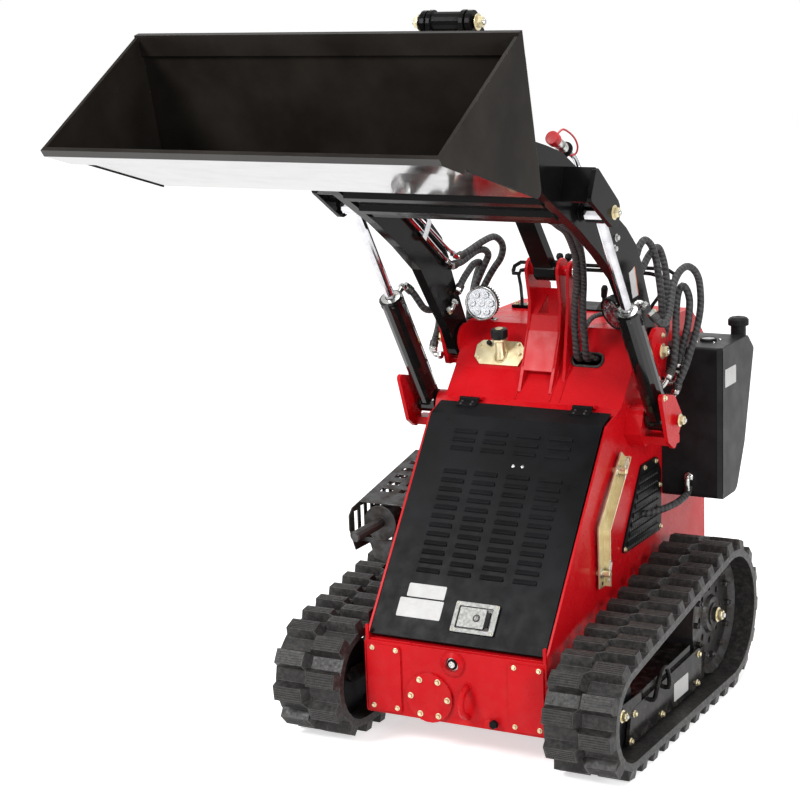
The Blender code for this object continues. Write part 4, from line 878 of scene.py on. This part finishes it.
def hull_details():
    bolts = Shape("front_plate_bolts")
    for a, b in circle(6, 0.049):
        bolts.bolt((FLANGE[0] + a, -0.006, FLANGE[1] + b), AHEAD, 0.005)
    for side in (1, -1):
        for x in (-0.032, 0.032):
            for z in (0.096, 0.2415):
                bolts.bolt((side * 0.1885 + x + 0.002, -0.005, z), AHEAD, 0.0042)
    bolts.done()
    port = Shape("front_plate_port")
    port.disc((PORT[0], 0.001, PORT[1]), AHEAD, 0.0178, 0.003, 0.0165, 0.0034, "silver", 24)
    port.disc((PORT[0], -0.002, PORT[1]), AHEAD, 0.0132, 0.0009, 0.0125, 0.001, "black_satin", 24)
    port.turned((PORT[0], -0.002, PORT[1]), AHEAD,
                [(0.0085, 0), (0.0085, 0.005), (0.0076, 0.0058), (0.0046, 0.0058), (0.004, 0.003)],
                "silver", 20)
    port.bolt((0.106, -0.0066, 0.096), AHEAD, 0.01, "black_satin", False)
    port.done()
    welds = Shape("hull_welds")
    for side in (1, -1):
        x = side * 0.2395
        welds.bead([(x, -0.0002, 0.082), (x, -0.0002, 0.17), (x, -0.0002, 0.254)], 0.0022)
    welds.bead(ring((PORT[0], -0.0008, PORT[1]), ACROSS, UP, 0.0305, 15), 0.002)
    for end_z in (0.174, 0.102):
        welds.bead(ring((0.033, -0.0004, end_z), ACROSS, UP, 0.0095, 30), 0.002)
    welds.done()
    tabs = Shape("door_tabs")
    for x in (-0.2385, 0.231):
        tabs.panel((x, 0.0055, 0.256), ACROSS, UP, (0.008, 0.04, 0.003), 0.005, "red_paint")
    tabs.done()
    filler()
    grommet = Shape("hose_grommet")
    ends = ((0.09, 0.864), (0.144, 0.864))
    oval = []
    for (x, z), start in ((ends[1], -90), (ends[0], 90)):
        for step in range(9):
            angle = math.radians(start + 180 * step / 8)
            oval.append((x + 0.0142 * math.cos(angle), z + 0.0142 * math.sin(angle)))
    oval.append(oval[0])
    slope = 0.075 / 0.105        # of the steep wall
    grommet.tube([(x, 0.515 + (z - 0.83) * slope - 0.001, z) for x, z in oval], 0.0036, "rubber", 8, 0.004)
    grommet.done()


# Tower, brace and side plates

def tower_details():
    nuts = Shape("tower_nuts")
    nuts.nut((0.078, 0.56, 1.08), ACROSS, 0.0125, "silver")
    nuts.disc((0.0325, 0.56, 1.08), ACROSS, 0.0215, 0.004, 0.0195, 0.0052, "red_paint", 28)
    nuts.done()
    welds = Shape("tower_welds")
    for x in (-0.0475, 0.0475, 0.0735):
        welds.bead([(x, 0.4585, 0.7695), (x, 0.487, 0.7995), (x, 0.516, 0.832)], 0.0024)
        welds.bead([(x, 0.5165, 0.8325), (x, 0.553, 0.8835), (x, 0.5895, 0.935)], 0.0024)
        if x != 0.0735:
            welds.bead([(x, 0.595, 0.9358), (x, 0.635, 0.9358), (x, 0.674, 0.9358)], 0.0024)
    for x in (0.042, -0.042):
        welds.bead([(x, 0.4985, 0.845), (x, 0.533, 0.928), (x, 0.5445, 0.966)], 0.0022)
    welds.done()


# holes of the side grilles; each row starts one hole further back
HOLE_ROWS, ROW_PITCH, HOLE_PITCH = 8, 0.021, 0.0125


def brace_details():
    shape = Shape("brace_clips")
    for y, z in ((0.405, 0.624), (0.298, 0.395)):
        shape.disc((0.2655, y, z), ACROSS, 0.0078, 0.0085, 0.0062, 0.01, "gold_zinc", 16)
        shape.disc((0.254, y, z), ACROSS, 0.0135, 0.0016, 0.0125, 0.002, "silver", 20)
        loop = [(0.2705, y - 0.001, z - 0.02), (0.2712, y, z - 0.004), (0.2712, y + 0.001, z + 0.012),
                (0.2712, y + 0.004, z + 0.026), (0.2712, y + 0.01, z + 0.032),
                (0.2712, y + 0.016, z + 0.027), (0.2712, y + 0.0135, z + 0.014),
                (0.2712, y + 0.0085, z + 0.004), (0.2712, y + 0.0105, z - 0.006)]
        shape.tube(loop, 0.0013, "silver", 8, 0.003)
    shape.disc((0.2535, 0.298, 0.37), ACROSS, 0.0052, 0.0008, 0.0048, 0.001, "black_satin", 16)
    shape.done()
    bolts = Shape("grille_bolts")
    for side in (1, -1):
        for y, z in ((0.588, 0.588), (0.662, 0.588), (0.687, 0.52), (0.687, 0.41), (0.456, 0.41)):
            bolts.bolt((side * 0.246, y, z), ACROSS * side, 0.0044)
    bolts.done()
    mesh = Shape("grille_mesh")
    for side in (1, -1):
        for row in range(HOLE_ROWS):
            z = 0.4075 + row * ROW_PITCH
            low_y = 0.462 + row * HOLE_PITCH
            count = int((0.676 - low_y) / HOLE_PITCH)
            for column in range(count):
                y = low_y + 0.006 + column * HOLE_PITCH
                mesh.turned((side * 0.2459, y, z), ACROSS * side,
                            [(0.004, 0), (0.0044, 0.0006), (0.003, 0.001), (0.0022, 0.0004)], "dark_steel",
                            8)
    mesh.done()


def tank_details():
    shape = Shape("tank_fittings")
    shape.panel((0.4, 0.745, 0.77), BACK, UP, (0.078, 0.046, 0.004), 0.0009, "label", 0.0002)
    shape.turned((0.331, 0.812, 0.8735), UP,
                 [(0.0215, 0), (0.0215, 0.006), (0.019, 0.0085), (0.018, 0.0085), (0.017, 0.007)],
                 "black_plastic", 28)
    shape.disc((0.331, 0.812, 0.8795), UP, 0.0165, 0.0015, 0.002, 0.0022, "silver", 24)
    for x, y in ((0.308, 0.79), (0.354, 0.79), (0.308, 0.834), (0.354, 0.834)):
        shape.screw((x, y, 0.8748), UP, 0.0038)
    shape.disc((0.315, 0.7168, 0.54), AHEAD, 0.013, 0.008, 0.0105, 0.01, "silver", 6)
    shape.tube([(0.315, 0.711, 0.54), (0.315, 0.704, 0.536), (0.315, 0.702, 0.524), (0.314, 0.706, 0.508)],
               0.0075, "silver", 12, 0.003)
    shape.done()
    seams = Shape("tank_seams")
    for x, y in ((0.3882, 0.717), (0.4, 0.729)):
        seams.tube([(x, y, 0.5), (x, y, 0.6), (x, y, 0.7), (x, y, 0.868)], 0.0011, "black_satin", 6, 0.05)
    edge = [(0.399, 0.74, 0.8745), (0.399, 0.82, 0.8745), (0.399, 0.905, 0.8745)]
    seams.tube(edge, 0.0014, "black_satin", 6, 0.02)
    seams.done()
    cap = Shape("tank_cap_ribs")
    for a, b in circle(28, 0.0256):
        foot = Vector((TANK_CAP[0] + a, TANK_CAP[1] + b, 0.8965))
        cap.tube([foot, foot + UP * 0.007, foot + UP * 0.0135], 0.0012, "black_plastic", 6, 0.007)
    cap.turned((*TANK_CAP, 0.9138), UP,
               [(0.0205, 0), (0.0205, 0.0012), (0.019, 0.0022), (0.008, 0.0022), (0.0072, 0.001)],
               "black_plastic", 32)
    cap.done()


def muffler_details():
    shape = Shape("muffler_bands")
    for y in (0.309, 0.429):
        shape.turned((MUFFLER[0], y - 0.009, MUFFLER[1]), BACK,
                     [(0.0395, 0), (0.0412, 0.0008), (0.0412, 0.0172), (0.0395, 0.018)], "silver", 28)
    shape.bead(ring((MUFFLER[0], 0.2405, MUFFLER[1]), ACROSS, UP, 0.0432, 15), 0.0018, "dark_steel")
    shape.turned((-0.3415, 0.149, 0.4645), (-0.16, -0.97, -0.2),
                 [(0.013, 0), (0.0145, 0.0008), (0.0145, 0.0035), (0.012, 0.004), (0.0116, 0.001)],
                 "dark_steel", 24)
    for y, z in ((0.275, 0.42), (0.54, 0.42), (0.54, 0.568)):
        shape.bolt((-0.3882, y, z), (-1, 0, 0), 0.0046)
    shape.bolt((-0.262, 0.2518, 0.392), AHEAD, 0.0046)
    shape.bolt((-0.262, 0.2518, 0.418), AHEAD, 0.0046)
    shape.done()


def control_details():
    shape = Shape("control_details")
    for x in (-0.115, -0.09):
        rings = []
        for step in range(7):
            rings.append((0.0062 - 0.0008 * (step % 2), 0.003 * step))
        shape.turned((x, 0.892, 0.94), UP,
                     [(0.0105, 0), (0.01, 0.004)] + [(r, 0.004 + h) for r, h in rings], "rubber", 16)
    for x, y in ((-0.127, 0.808), (0.057, 0.808), (0.057, 0.904), (-0.127, 0.904)):
        shape.screw((x, y, 0.94), UP, 0.004)
    for foot in (-0.1815, 0.1705):
        for x in (-0.018, 0.018):
            shape.bolt((foot + x, 0.8, 0.944), UP, 0.005)
    shape.done()
    boot = Shape("lever_boot")
    profile = []
    for fold in range(4):
        low = 0.0046 * fold
        profile += [(0.0165 - 0.0024 * fold, low), (0.0178 - 0.0024 * fold, low + 0.0018),
                    (0.015 - 0.0024 * fold, low + 0.004)]
    boot.turned((0.038, 0.82, 0.9398), (0.12, -0.05, 1), profile, "rubber", 24)
    boot.done()


def bracket_details():
    nuts = Shape("bracket_nuts")
    for side in (1, -1):
        way = ACROSS * side
        nuts.nut((side * 0.37, 0.515, 0.735), way, 0.0105)
        nuts.nut((side * 0.302, 0.575, 0.89), way, 0.0125)
        nuts.bolt((side * 0.2925, 0.597, 0.925), way, 0.0048)
        nuts.bolt((side * 0.3605, 0.438, 0.805), way, 0.0052)
    nuts.done()
    welds = Shape("bracket_welds")
    for side in (1, -1):
        welds.bead(ring((side * 0.241, 0.515, 0.735), BACK, UP, 0.031, 20, -10, 171), 0.0024)
        welds.bead(mirrored(side, [(0.281, 0.572, 0.8355), (0.26, 0.572, 0.8355), (0.242, 0.572, 0.8355)]),
                   0.0022)
    welds.done()


# Undercarriage

def track_details():
    for name, side in SIDES:
        way = ACROSS * side
        shape = Shape("track_frame_bolts_" + name)
        for y, z in ((0.102, 0.06), (0.296, 0.06), (0.529, 0.062), (0.125, 0.12), (0.54, 0.134)):
            shape.bolt((side * 0.405, y, z), way, 0.0056)
        loop = mirrored(side,
                        [(0.4046, 0.222, 0.122), (0.415, 0.222, 0.124), (0.419, 0.232, 0.15),
                         (0.4195, 0.25, 0.18), (0.4195, 0.272, 0.188), (0.4195, 0.292, 0.18),
                         (0.419, 0.308, 0.15), (0.415, 0.316, 0.124), (0.4046, 0.316, 0.122)])
        shape.tube(loop, 0.0058, "black_paint", 10, 0.008)
        shape.disc((side * 0.4075, *FRONT_WHEEL), way, 0.019, 0.0035, 0.0165, 0.005, "black_satin", 24)
        shape.nut((side * 0.412, *FRONT_WHEEL), way, 0.01)
        shape.done()
        if name == "left":
            label = Shape("track_frame_label")
            label.panel((0.4049, 0.374, 0.064), BACK, UP, (0.094, 0.046, 0.004), 0.0009, "label", 0.0002)
            label.done()
        hub = Shape("sprocket_hub_" + name)
        hub.nut((side * 0.4048, *DRIVE_WHEEL), way, 0.0125)
        for a, b in circle(12, SPROCKET_BOLTS):
            hub.bolt((side * 0.393, DRIVE_WHEEL[0] + a, DRIVE_WHEEL[1] + b), way, 0.005, "dark_steel")
        hub.disc((side * 0.3915, *DRIVE_WHEEL), way, 0.029, 0.003, 0.027, 0.004, "dark_steel", 28)
        hub.done()
        ribs = Shape("track_side_ribs_" + name)
        for y in (0.2, 0.3, 0.4):
            ribs.disc((side * 0.394, y, 0.082), way, 0.015, 0.003, 0.012, 0.0042, "black_satin", 20)
        ribs.done()


def depth_in_track(point):
    """How far a point lies inside the line of the lug tips."""
    (front, near), (rear, far) = TRACK_WHEELS
    start, span = Vector(front), Vector(rear) - Vector(front)
    here = Vector((point.y + MIDDLE_Y, point.z))
    share = min(max((here - start).dot(span) / span.length_squared, 0.0), 1.0)
    return near + (far - near) * share - (here - start - span * share).length


def tread_ribs():
    """Fine ribs across the top of each lug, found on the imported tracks; the lugs on the ground have none."""
    for name, side in SIDES:
        bm = bmesh.new()
        bm.from_mesh(NODES["track_" + name].data)
        bmesh.ops.remove_doubles(bm, verts=bm.verts[:], dist=0.00002)
        bmesh.ops.dissolve_limit(bm, angle_limit=math.radians(4), verts=bm.verts[:], edges=bm.edges[:])
        bm.normal_update()
        shape = Shape("track_tread_" + name)
        tops = [face for face in bm.faces if abs(face.normal.x) < 0.1 and face.normal.z > -0.85
                and face.calc_area() > 0.0008
                and depth_in_track(face.calc_center_median()) < LUG_HEIGHT * 0.25]
        for face in sorted(tops, key=lambda top: tuple(round(c, 4) for c in top.calc_center_median())):
            out = face.normal.copy()
            along = out.cross(ACROSS).normalized()
            middle = face.calc_center_median() + Vector((0, MIDDLE_Y, 0))
            places = [vert.co + Vector((0, MIDDLE_Y, 0)) - middle for vert in face.verts]
            runs = [place.dot(along) for place in places]
            low, high = min(place.x for place in places) + 0.004, max(place.x for place in places) - 0.004
            count = int((max(runs) - min(runs) - 0.004) / RIB_PITCH)
            start = (max(runs) + min(runs) - (count - 1) * RIB_PITCH - RIB_WIDTH) / 2
            for step in range(count):
                corner = middle + along * (start + step * RIB_PITCH) + ACROSS * low - out * 0.0004
                shape.slab(corner, ACROSS, along,
                           [(0, 0), (high - low, 0), (high - low, RIB_WIDTH), (0, RIB_WIDTH)],
                           RIB_HEIGHT + 0.0004, "rubber", 0.0004)
        bm.free()
        shape.done()


# Arms, linkage and bucket


def arm_details():
    for name, side in SIDES:
        way = ACROSS * side
        shape = Shape("arm_bolts_" + name)
        for y, z in ((0.358, 1.2), (0.346, 1.176)):
            shape.bolt((side * 0.275, y, z), way, 0.0062, "silver")
        shape.nut((side * 0.3555, *ROD_EAR), way, 0.011)
        shape.disc((side * 0.2752, *ATTACH_PIVOT), way, 0.03, 0.003, 0.0275, 0.0045, "black_paint", 28)
        shape.done("lift_arms")
        welds = Shape("arm_welds_" + name)
        for x in (side * 0.276, side * 0.3435):
            welds.bead([(x, 0.043, 1.33), (x, 0.058, 1.362), (x, 0.072, 1.393)], 0.0028, "black_paint")
        welds.bead(ring((side * 0.2756, *ROD_EAR), BACK, UP, 0.0215, 20), 0.0024, "black_paint")
        welds.bead(mirrored(side, [(0.2485, 0.124, 1.302), (0.2485, 0.0, 1.37), (0.2485, -0.112, 1.431)]),
                   0.0026, "black_paint")
        welds.done("lift_arms")
    plate = Shape("arm_label")
    outline = [(0.0, 0.0), (0.034, 0.003), (0.034, 0.012), (0.012, 0.076), (0.002, 0.071), (-0.022, 0.065)]
    plate.slab((0.2749, 0.452, 1.04), BACK, UP, outline, 0.0009, "label", 0.0002)
    plate.slab((0.275, 0.484, 1.043), BACK, UP,
               [(0.0, 0.0), (0.0035, 0.0005), (-0.0185, 0.0735), (-0.0215, 0.072)], 0.0011, "orange",
               0.0002)
    plate.done("lift_arms")
    coupler()


def coupler():
    """Quick coupler behind the cross member, with its red dust cap and lanyard."""
    start = Vector((0.2, 0.248, 1.414))
    way = Vector((0.0, -0.9, 0.435)).normalized()
    shape = Shape("quick_coupler")
    shape.turned(start, way, [(0.011, 0), (0.0118, 0.001), (0.0118, 0.014), (0.01, 0.015)], "silver", 6)
    shape.turned(start + way * 0.014, way,
                 [(0.0125, 0), (0.0135, 0.001), (0.0135, 0.018), (0.0128, 0.019), (0.0128, 0.022),
                  (0.0135, 0.023), (0.0135, 0.052), (0.012, 0.053)],
                 "silver", 28)
    shape.turned(start + way * 0.004, way, [(0.0185, 0), (0.019, 0.001), (0.019, 0.004), (0.0185, 0.005)],
                 "black_plastic", 24)
    shape.done("lift_arms")
    cap = Shape("coupler_cap")
    tip = start + way * 0.067
    cap.turned(tip, way, [(0.015, 0), (0.0165, 0.001), (0.0165, 0.018), (0.015, 0.02), (0.006, 0.021)],
               "red_plastic", 28)
    lanyard = [tip + Vector((0.006, 0.002, 0.015)), (0.21, 0.21, 1.466), (0.215, 0.235, 1.456),
               (0.218, 0.258, 1.44), (0.22, 0.268, 1.422), (0.218, 0.264, 1.407), (0.212, 0.252, 1.403),
               (0.205, 0.244, 1.408)]
    cap.tube(lanyard, 0.0024, "red_plastic", 8, 0.004)
    cap.done("lift_arms")
    rest = Shape("coupler_bracket")
    rest.tube([start, start - way * 0.014, (0.208, 0.274, 1.396), (0.216, 0.282, 1.37),
               (0.227, 0.28, 1.335), (0.24, 0.27, 1.295), (0.2494, 0.26, 1.255)],
              0.0065, "bright_steel", 12, 0.005)
    rest.done("lift_arms")


def barrel_details(shape, start, end, x, radius, length):
    """Gland with its spanner holes at the end of a barrel, and the weld at its foot."""
    along = toward(start, end)
    base = Vector((x, *start))
    shape.turned(base + along * (length - 0.0005), along,
                 [(radius * 0.84, 0), (radius * 0.84, 0.0008), (radius * 0.6, 0.003),
                  (radius * 0.48, 0.003), (radius * 0.48, 0.0004)],
                 "silver", 28)
    side = along.cross(ACROSS).normalized()
    for a, b in circle(6):
        way = ACROSS * a + side * b
        shape.turned(base + along * (length - 0.01) + way * (radius + 0.0014), way,
                     [(0.0034, 0), (0.0034, 0.001), (0.0024, 0.0012), (0.0022, 0.0004)], "dark_steel", 10)
    shape.bead(ring(base + along * 0.0125, ACROSS, side, radius + 0.0002, 20), 0.0022, "black_paint")


# columns: name, body, then distance from the middle, place and size of each pair of nuts
PIN_NUTS = [
    ("crank_nuts", "bell_crank", ((0.072, CRANK_TOP, 0.0125), (0.068, CRANK_PIVOT, 0.012))),
    ("tilt_pin_nuts", "tilt_pin", ((0.0495, TILT_BASE, 0.0115),)),
    ("tilt_ear_nuts", "attach_plate", ((0.042, TILT_EAR, 0.0115),)),
    ("shaft_nuts", "attach_shaft", ((0.283, ATTACH_PIVOT, 0.013),)),
]


def linkage_details():
    for name, side in SIDES:
        shape = Shape("lift_barrel_trim_" + name)
        barrel_details(shape, BARREL_BASE, ROD_EAR, side * BARREL_X, 0.029, 0.356)
        along = toward(BARREL_BASE, ROD_EAR)
        out = Vector((0, along.z, -along.y))
        base = Vector((side * BARREL_X, *BARREL_BASE)) + out * 0.0285
        pipe = ((0.06, 0), (0.06, 0.012), (0.075, 0.015), (0.2, 0.015), (0.312, 0.015), (0.326, 0.012),
                (0.326, 0))
        shape.tube([base + along * run + out * off for run, off in pipe], 0.0046, "black_satin", 10, 0.01)
        shape.done("lift_barrel_" + name)
    shape = Shape("tilt_barrel_trim")
    barrel_details(shape, TILT_BASE, TILT_EAR, 0.0, 0.026, 0.285)
    shape.done("tilt_barrel")
    for name, body, pairs in PIN_NUTS:
        shape = Shape(name)
        for side in (1, -1):
            for x, place, size in pairs:
                shape.nut((side * x, *place), ACROSS * side, size)
        shape.done(body)
    link = Shape("link_welds")
    way = toward(LINK_PIVOT, CRANK_TOP)
    reach = math.dist(LINK_PIVOT, CRANK_TOP) - 0.2115
    foot = Vector((0, *LINK_PIVOT)) + way * reach + Vector((0, -way.z, way.y)) * 0.0138
    link.bead([foot + ACROSS * -0.024, foot, foot + ACROSS * 0.024], 0.0022, "black_paint")
    link.done("level_link")


def bucket_details():
    """Weld beads along the bucket's ends, on its hooks and on the attach plate."""
    floor_way = toward(BUCKET_HEEL, BUCKET_TIP)
    floor_out = Vector((0, -floor_way.z, floor_way.y))
    back_way = toward(BUCKET_HEEL, BUCKET_RIM)
    back_out = Vector((0, back_way.z, -back_way.y))
    heel = Vector((0, *BUCKET_HEEL))
    welds = Shape("bucket_welds")
    rows = ((floor_way, floor_out, (0.02, 0.2, 0.335)), (back_way, back_out, (0.02, 0.15, 0.29)))
    for side in (1, -1):
        for way, out, runs in rows:
            foot = heel + ACROSS * side * 0.4455 + out * 0.0004
            welds.bead([foot + way * run for run in runs], 0.002, "black_paint")
    for along in (0.3215, 0.0245):
        foot = heel + back_way * along + back_out * 0.0012
        welds.bead([foot + ACROSS * -0.232, foot, foot + ACROSS * 0.232], 0.0026, "black_paint")
    welds.done("attach_plate")
    plate = Shape("attach_plate_welds")
    for x in (-0.211, -0.2315, 0.211, 0.2315, -0.029, -0.043, 0.029, 0.043):
        low, high = (0.046, 0.158) if abs(x) > 0.1 else (0.102, 0.248)
        foot = heel + back_out * 0.0132 + ACROSS * x
        plate.bead([foot + back_way * low, foot + back_way * (low + high) / 2, foot + back_way * high],
                   0.0024, "black_paint")
    plate.done("attach_plate")


def lamp_details():
    # columns: side, its sign, way that the lamp faces at rest, look of the rim
    for name, side, facing, rim_look in (("right", -1, (0.1, -1.0, -0.05), "silver"),
                                         ("left", 1, (-0.45, -0.85, -0.35), "black_satin")):
        forward = Vector(facing).normalized()
        turn = turn_to(forward)
        middle = Vector((side * LAMP[0], LAMP[1], LAMP[2]))
        face = middle + forward * 0.025
        bowls = Shape("lamp_reflectors_" + name)
        bowls.disc(face + forward * 0.0001, forward, 0.0385, 0.0008, 0.037, 0.0012, "reflector", 40)
        for a, b in [(0.0, 0.0)] + circle(6, 0.0245, 30):
            bowls.turned(face + turn @ Vector((a, b, 0)), forward,
                         [(0.0112, 0.0008), (0.0112, 0.0022), (0.01, 0.0022), (0.006, 0.001),
                          (0.003, 0.001), (0.0026, 0.0026), (0.001, 0.003)],
                         "reflector")
        bowls.done("lamp_" + name)
        glass = Shape("lamp_lens_" + name)
        glass.turned(face + forward * 0.0032, forward,
                     [(0.0386, 0), (0.0388, 0.0012), (0.036, 0.0024), (0.02, 0.0034), (0.004, 0.0037)],
                     "lamp_glass", 40)
        glass.done("lamp_" + name)
        rim = Shape("lamp_rim_" + name)
        rim.tube(ring(face + forward * 0.0034, turn.col[0], turn.col[1], 0.0414, 15), 0.0026, rim_look, 8,
                 0.004)
        for a, b in circle(36):
            radial = turn @ Vector((a, b, 0))
            rim.slab(middle + forward * 0.002 + radial * 0.0335, radial, forward,
                     [(0, 0), (0.0095, 0.003), (0.0095, 0.013), (0, 0.013)], 0.0016, "black_satin", 0.0003)
        for a, b in circle(3, 0.0414, 30):
            rim.screw(face + forward * 0.003 + turn @ Vector((a, b, 0)), forward, 0.0026)
        rim.done("lamp_" + name)
        bracket = Shape("lamp_bracket_" + name)
        foot = Vector((side * LAMP[0], LAMP[1] + 0.02, 0.9353))
        bracket.panel(foot + Vector((-0.021, -0.006, 0)), ACROSS, BACK, (0.042, 0.02, 0.004), 0.003,
                      "silver")
        bracket.panel(foot + Vector((-0.016, -0.005, 0.0029)), ACROSS, BACK, (0.032, 0.018, 0.003), 0.0015,
                      "black_satin")
        for x in (-0.0205, 0.0175):
            bracket.panel(foot + Vector((x, 0.013, 0.001)), AHEAD, UP, (0.017, 0.0034, 0.001), 0.003,
                          "silver")
        for x in (-0.0115, 0.0115):
            bracket.screw(foot + Vector((x, 0.003, 0.0042)), UP, 0.0028)
        bracket.done()


camera()
world()
area("key", M(-2.6, -3.4, 3.8), M(0, 0.2, 0.8), 1.5, 190)
area("fill", M(3.8, -2.2, 2.0), M(0, 0.3, 0.8), 1.2, 75)
area("top", M(0.4, 0.8, 4.4), M(0, 0.3, 0.8), 2.4, 90)
floor()
dress_nodes()
hoses()
door_details()
hull_details()
tower_details()
brace_details()
tank_details()
muffler_details()
control_details()
bracket_details()
track_details()
tread_ribs()
arm_details()
linkage_details()
bucket_details()
lamp_details()

scene = bpy.context.scene
scene.view_settings.view_transform = "Standard"
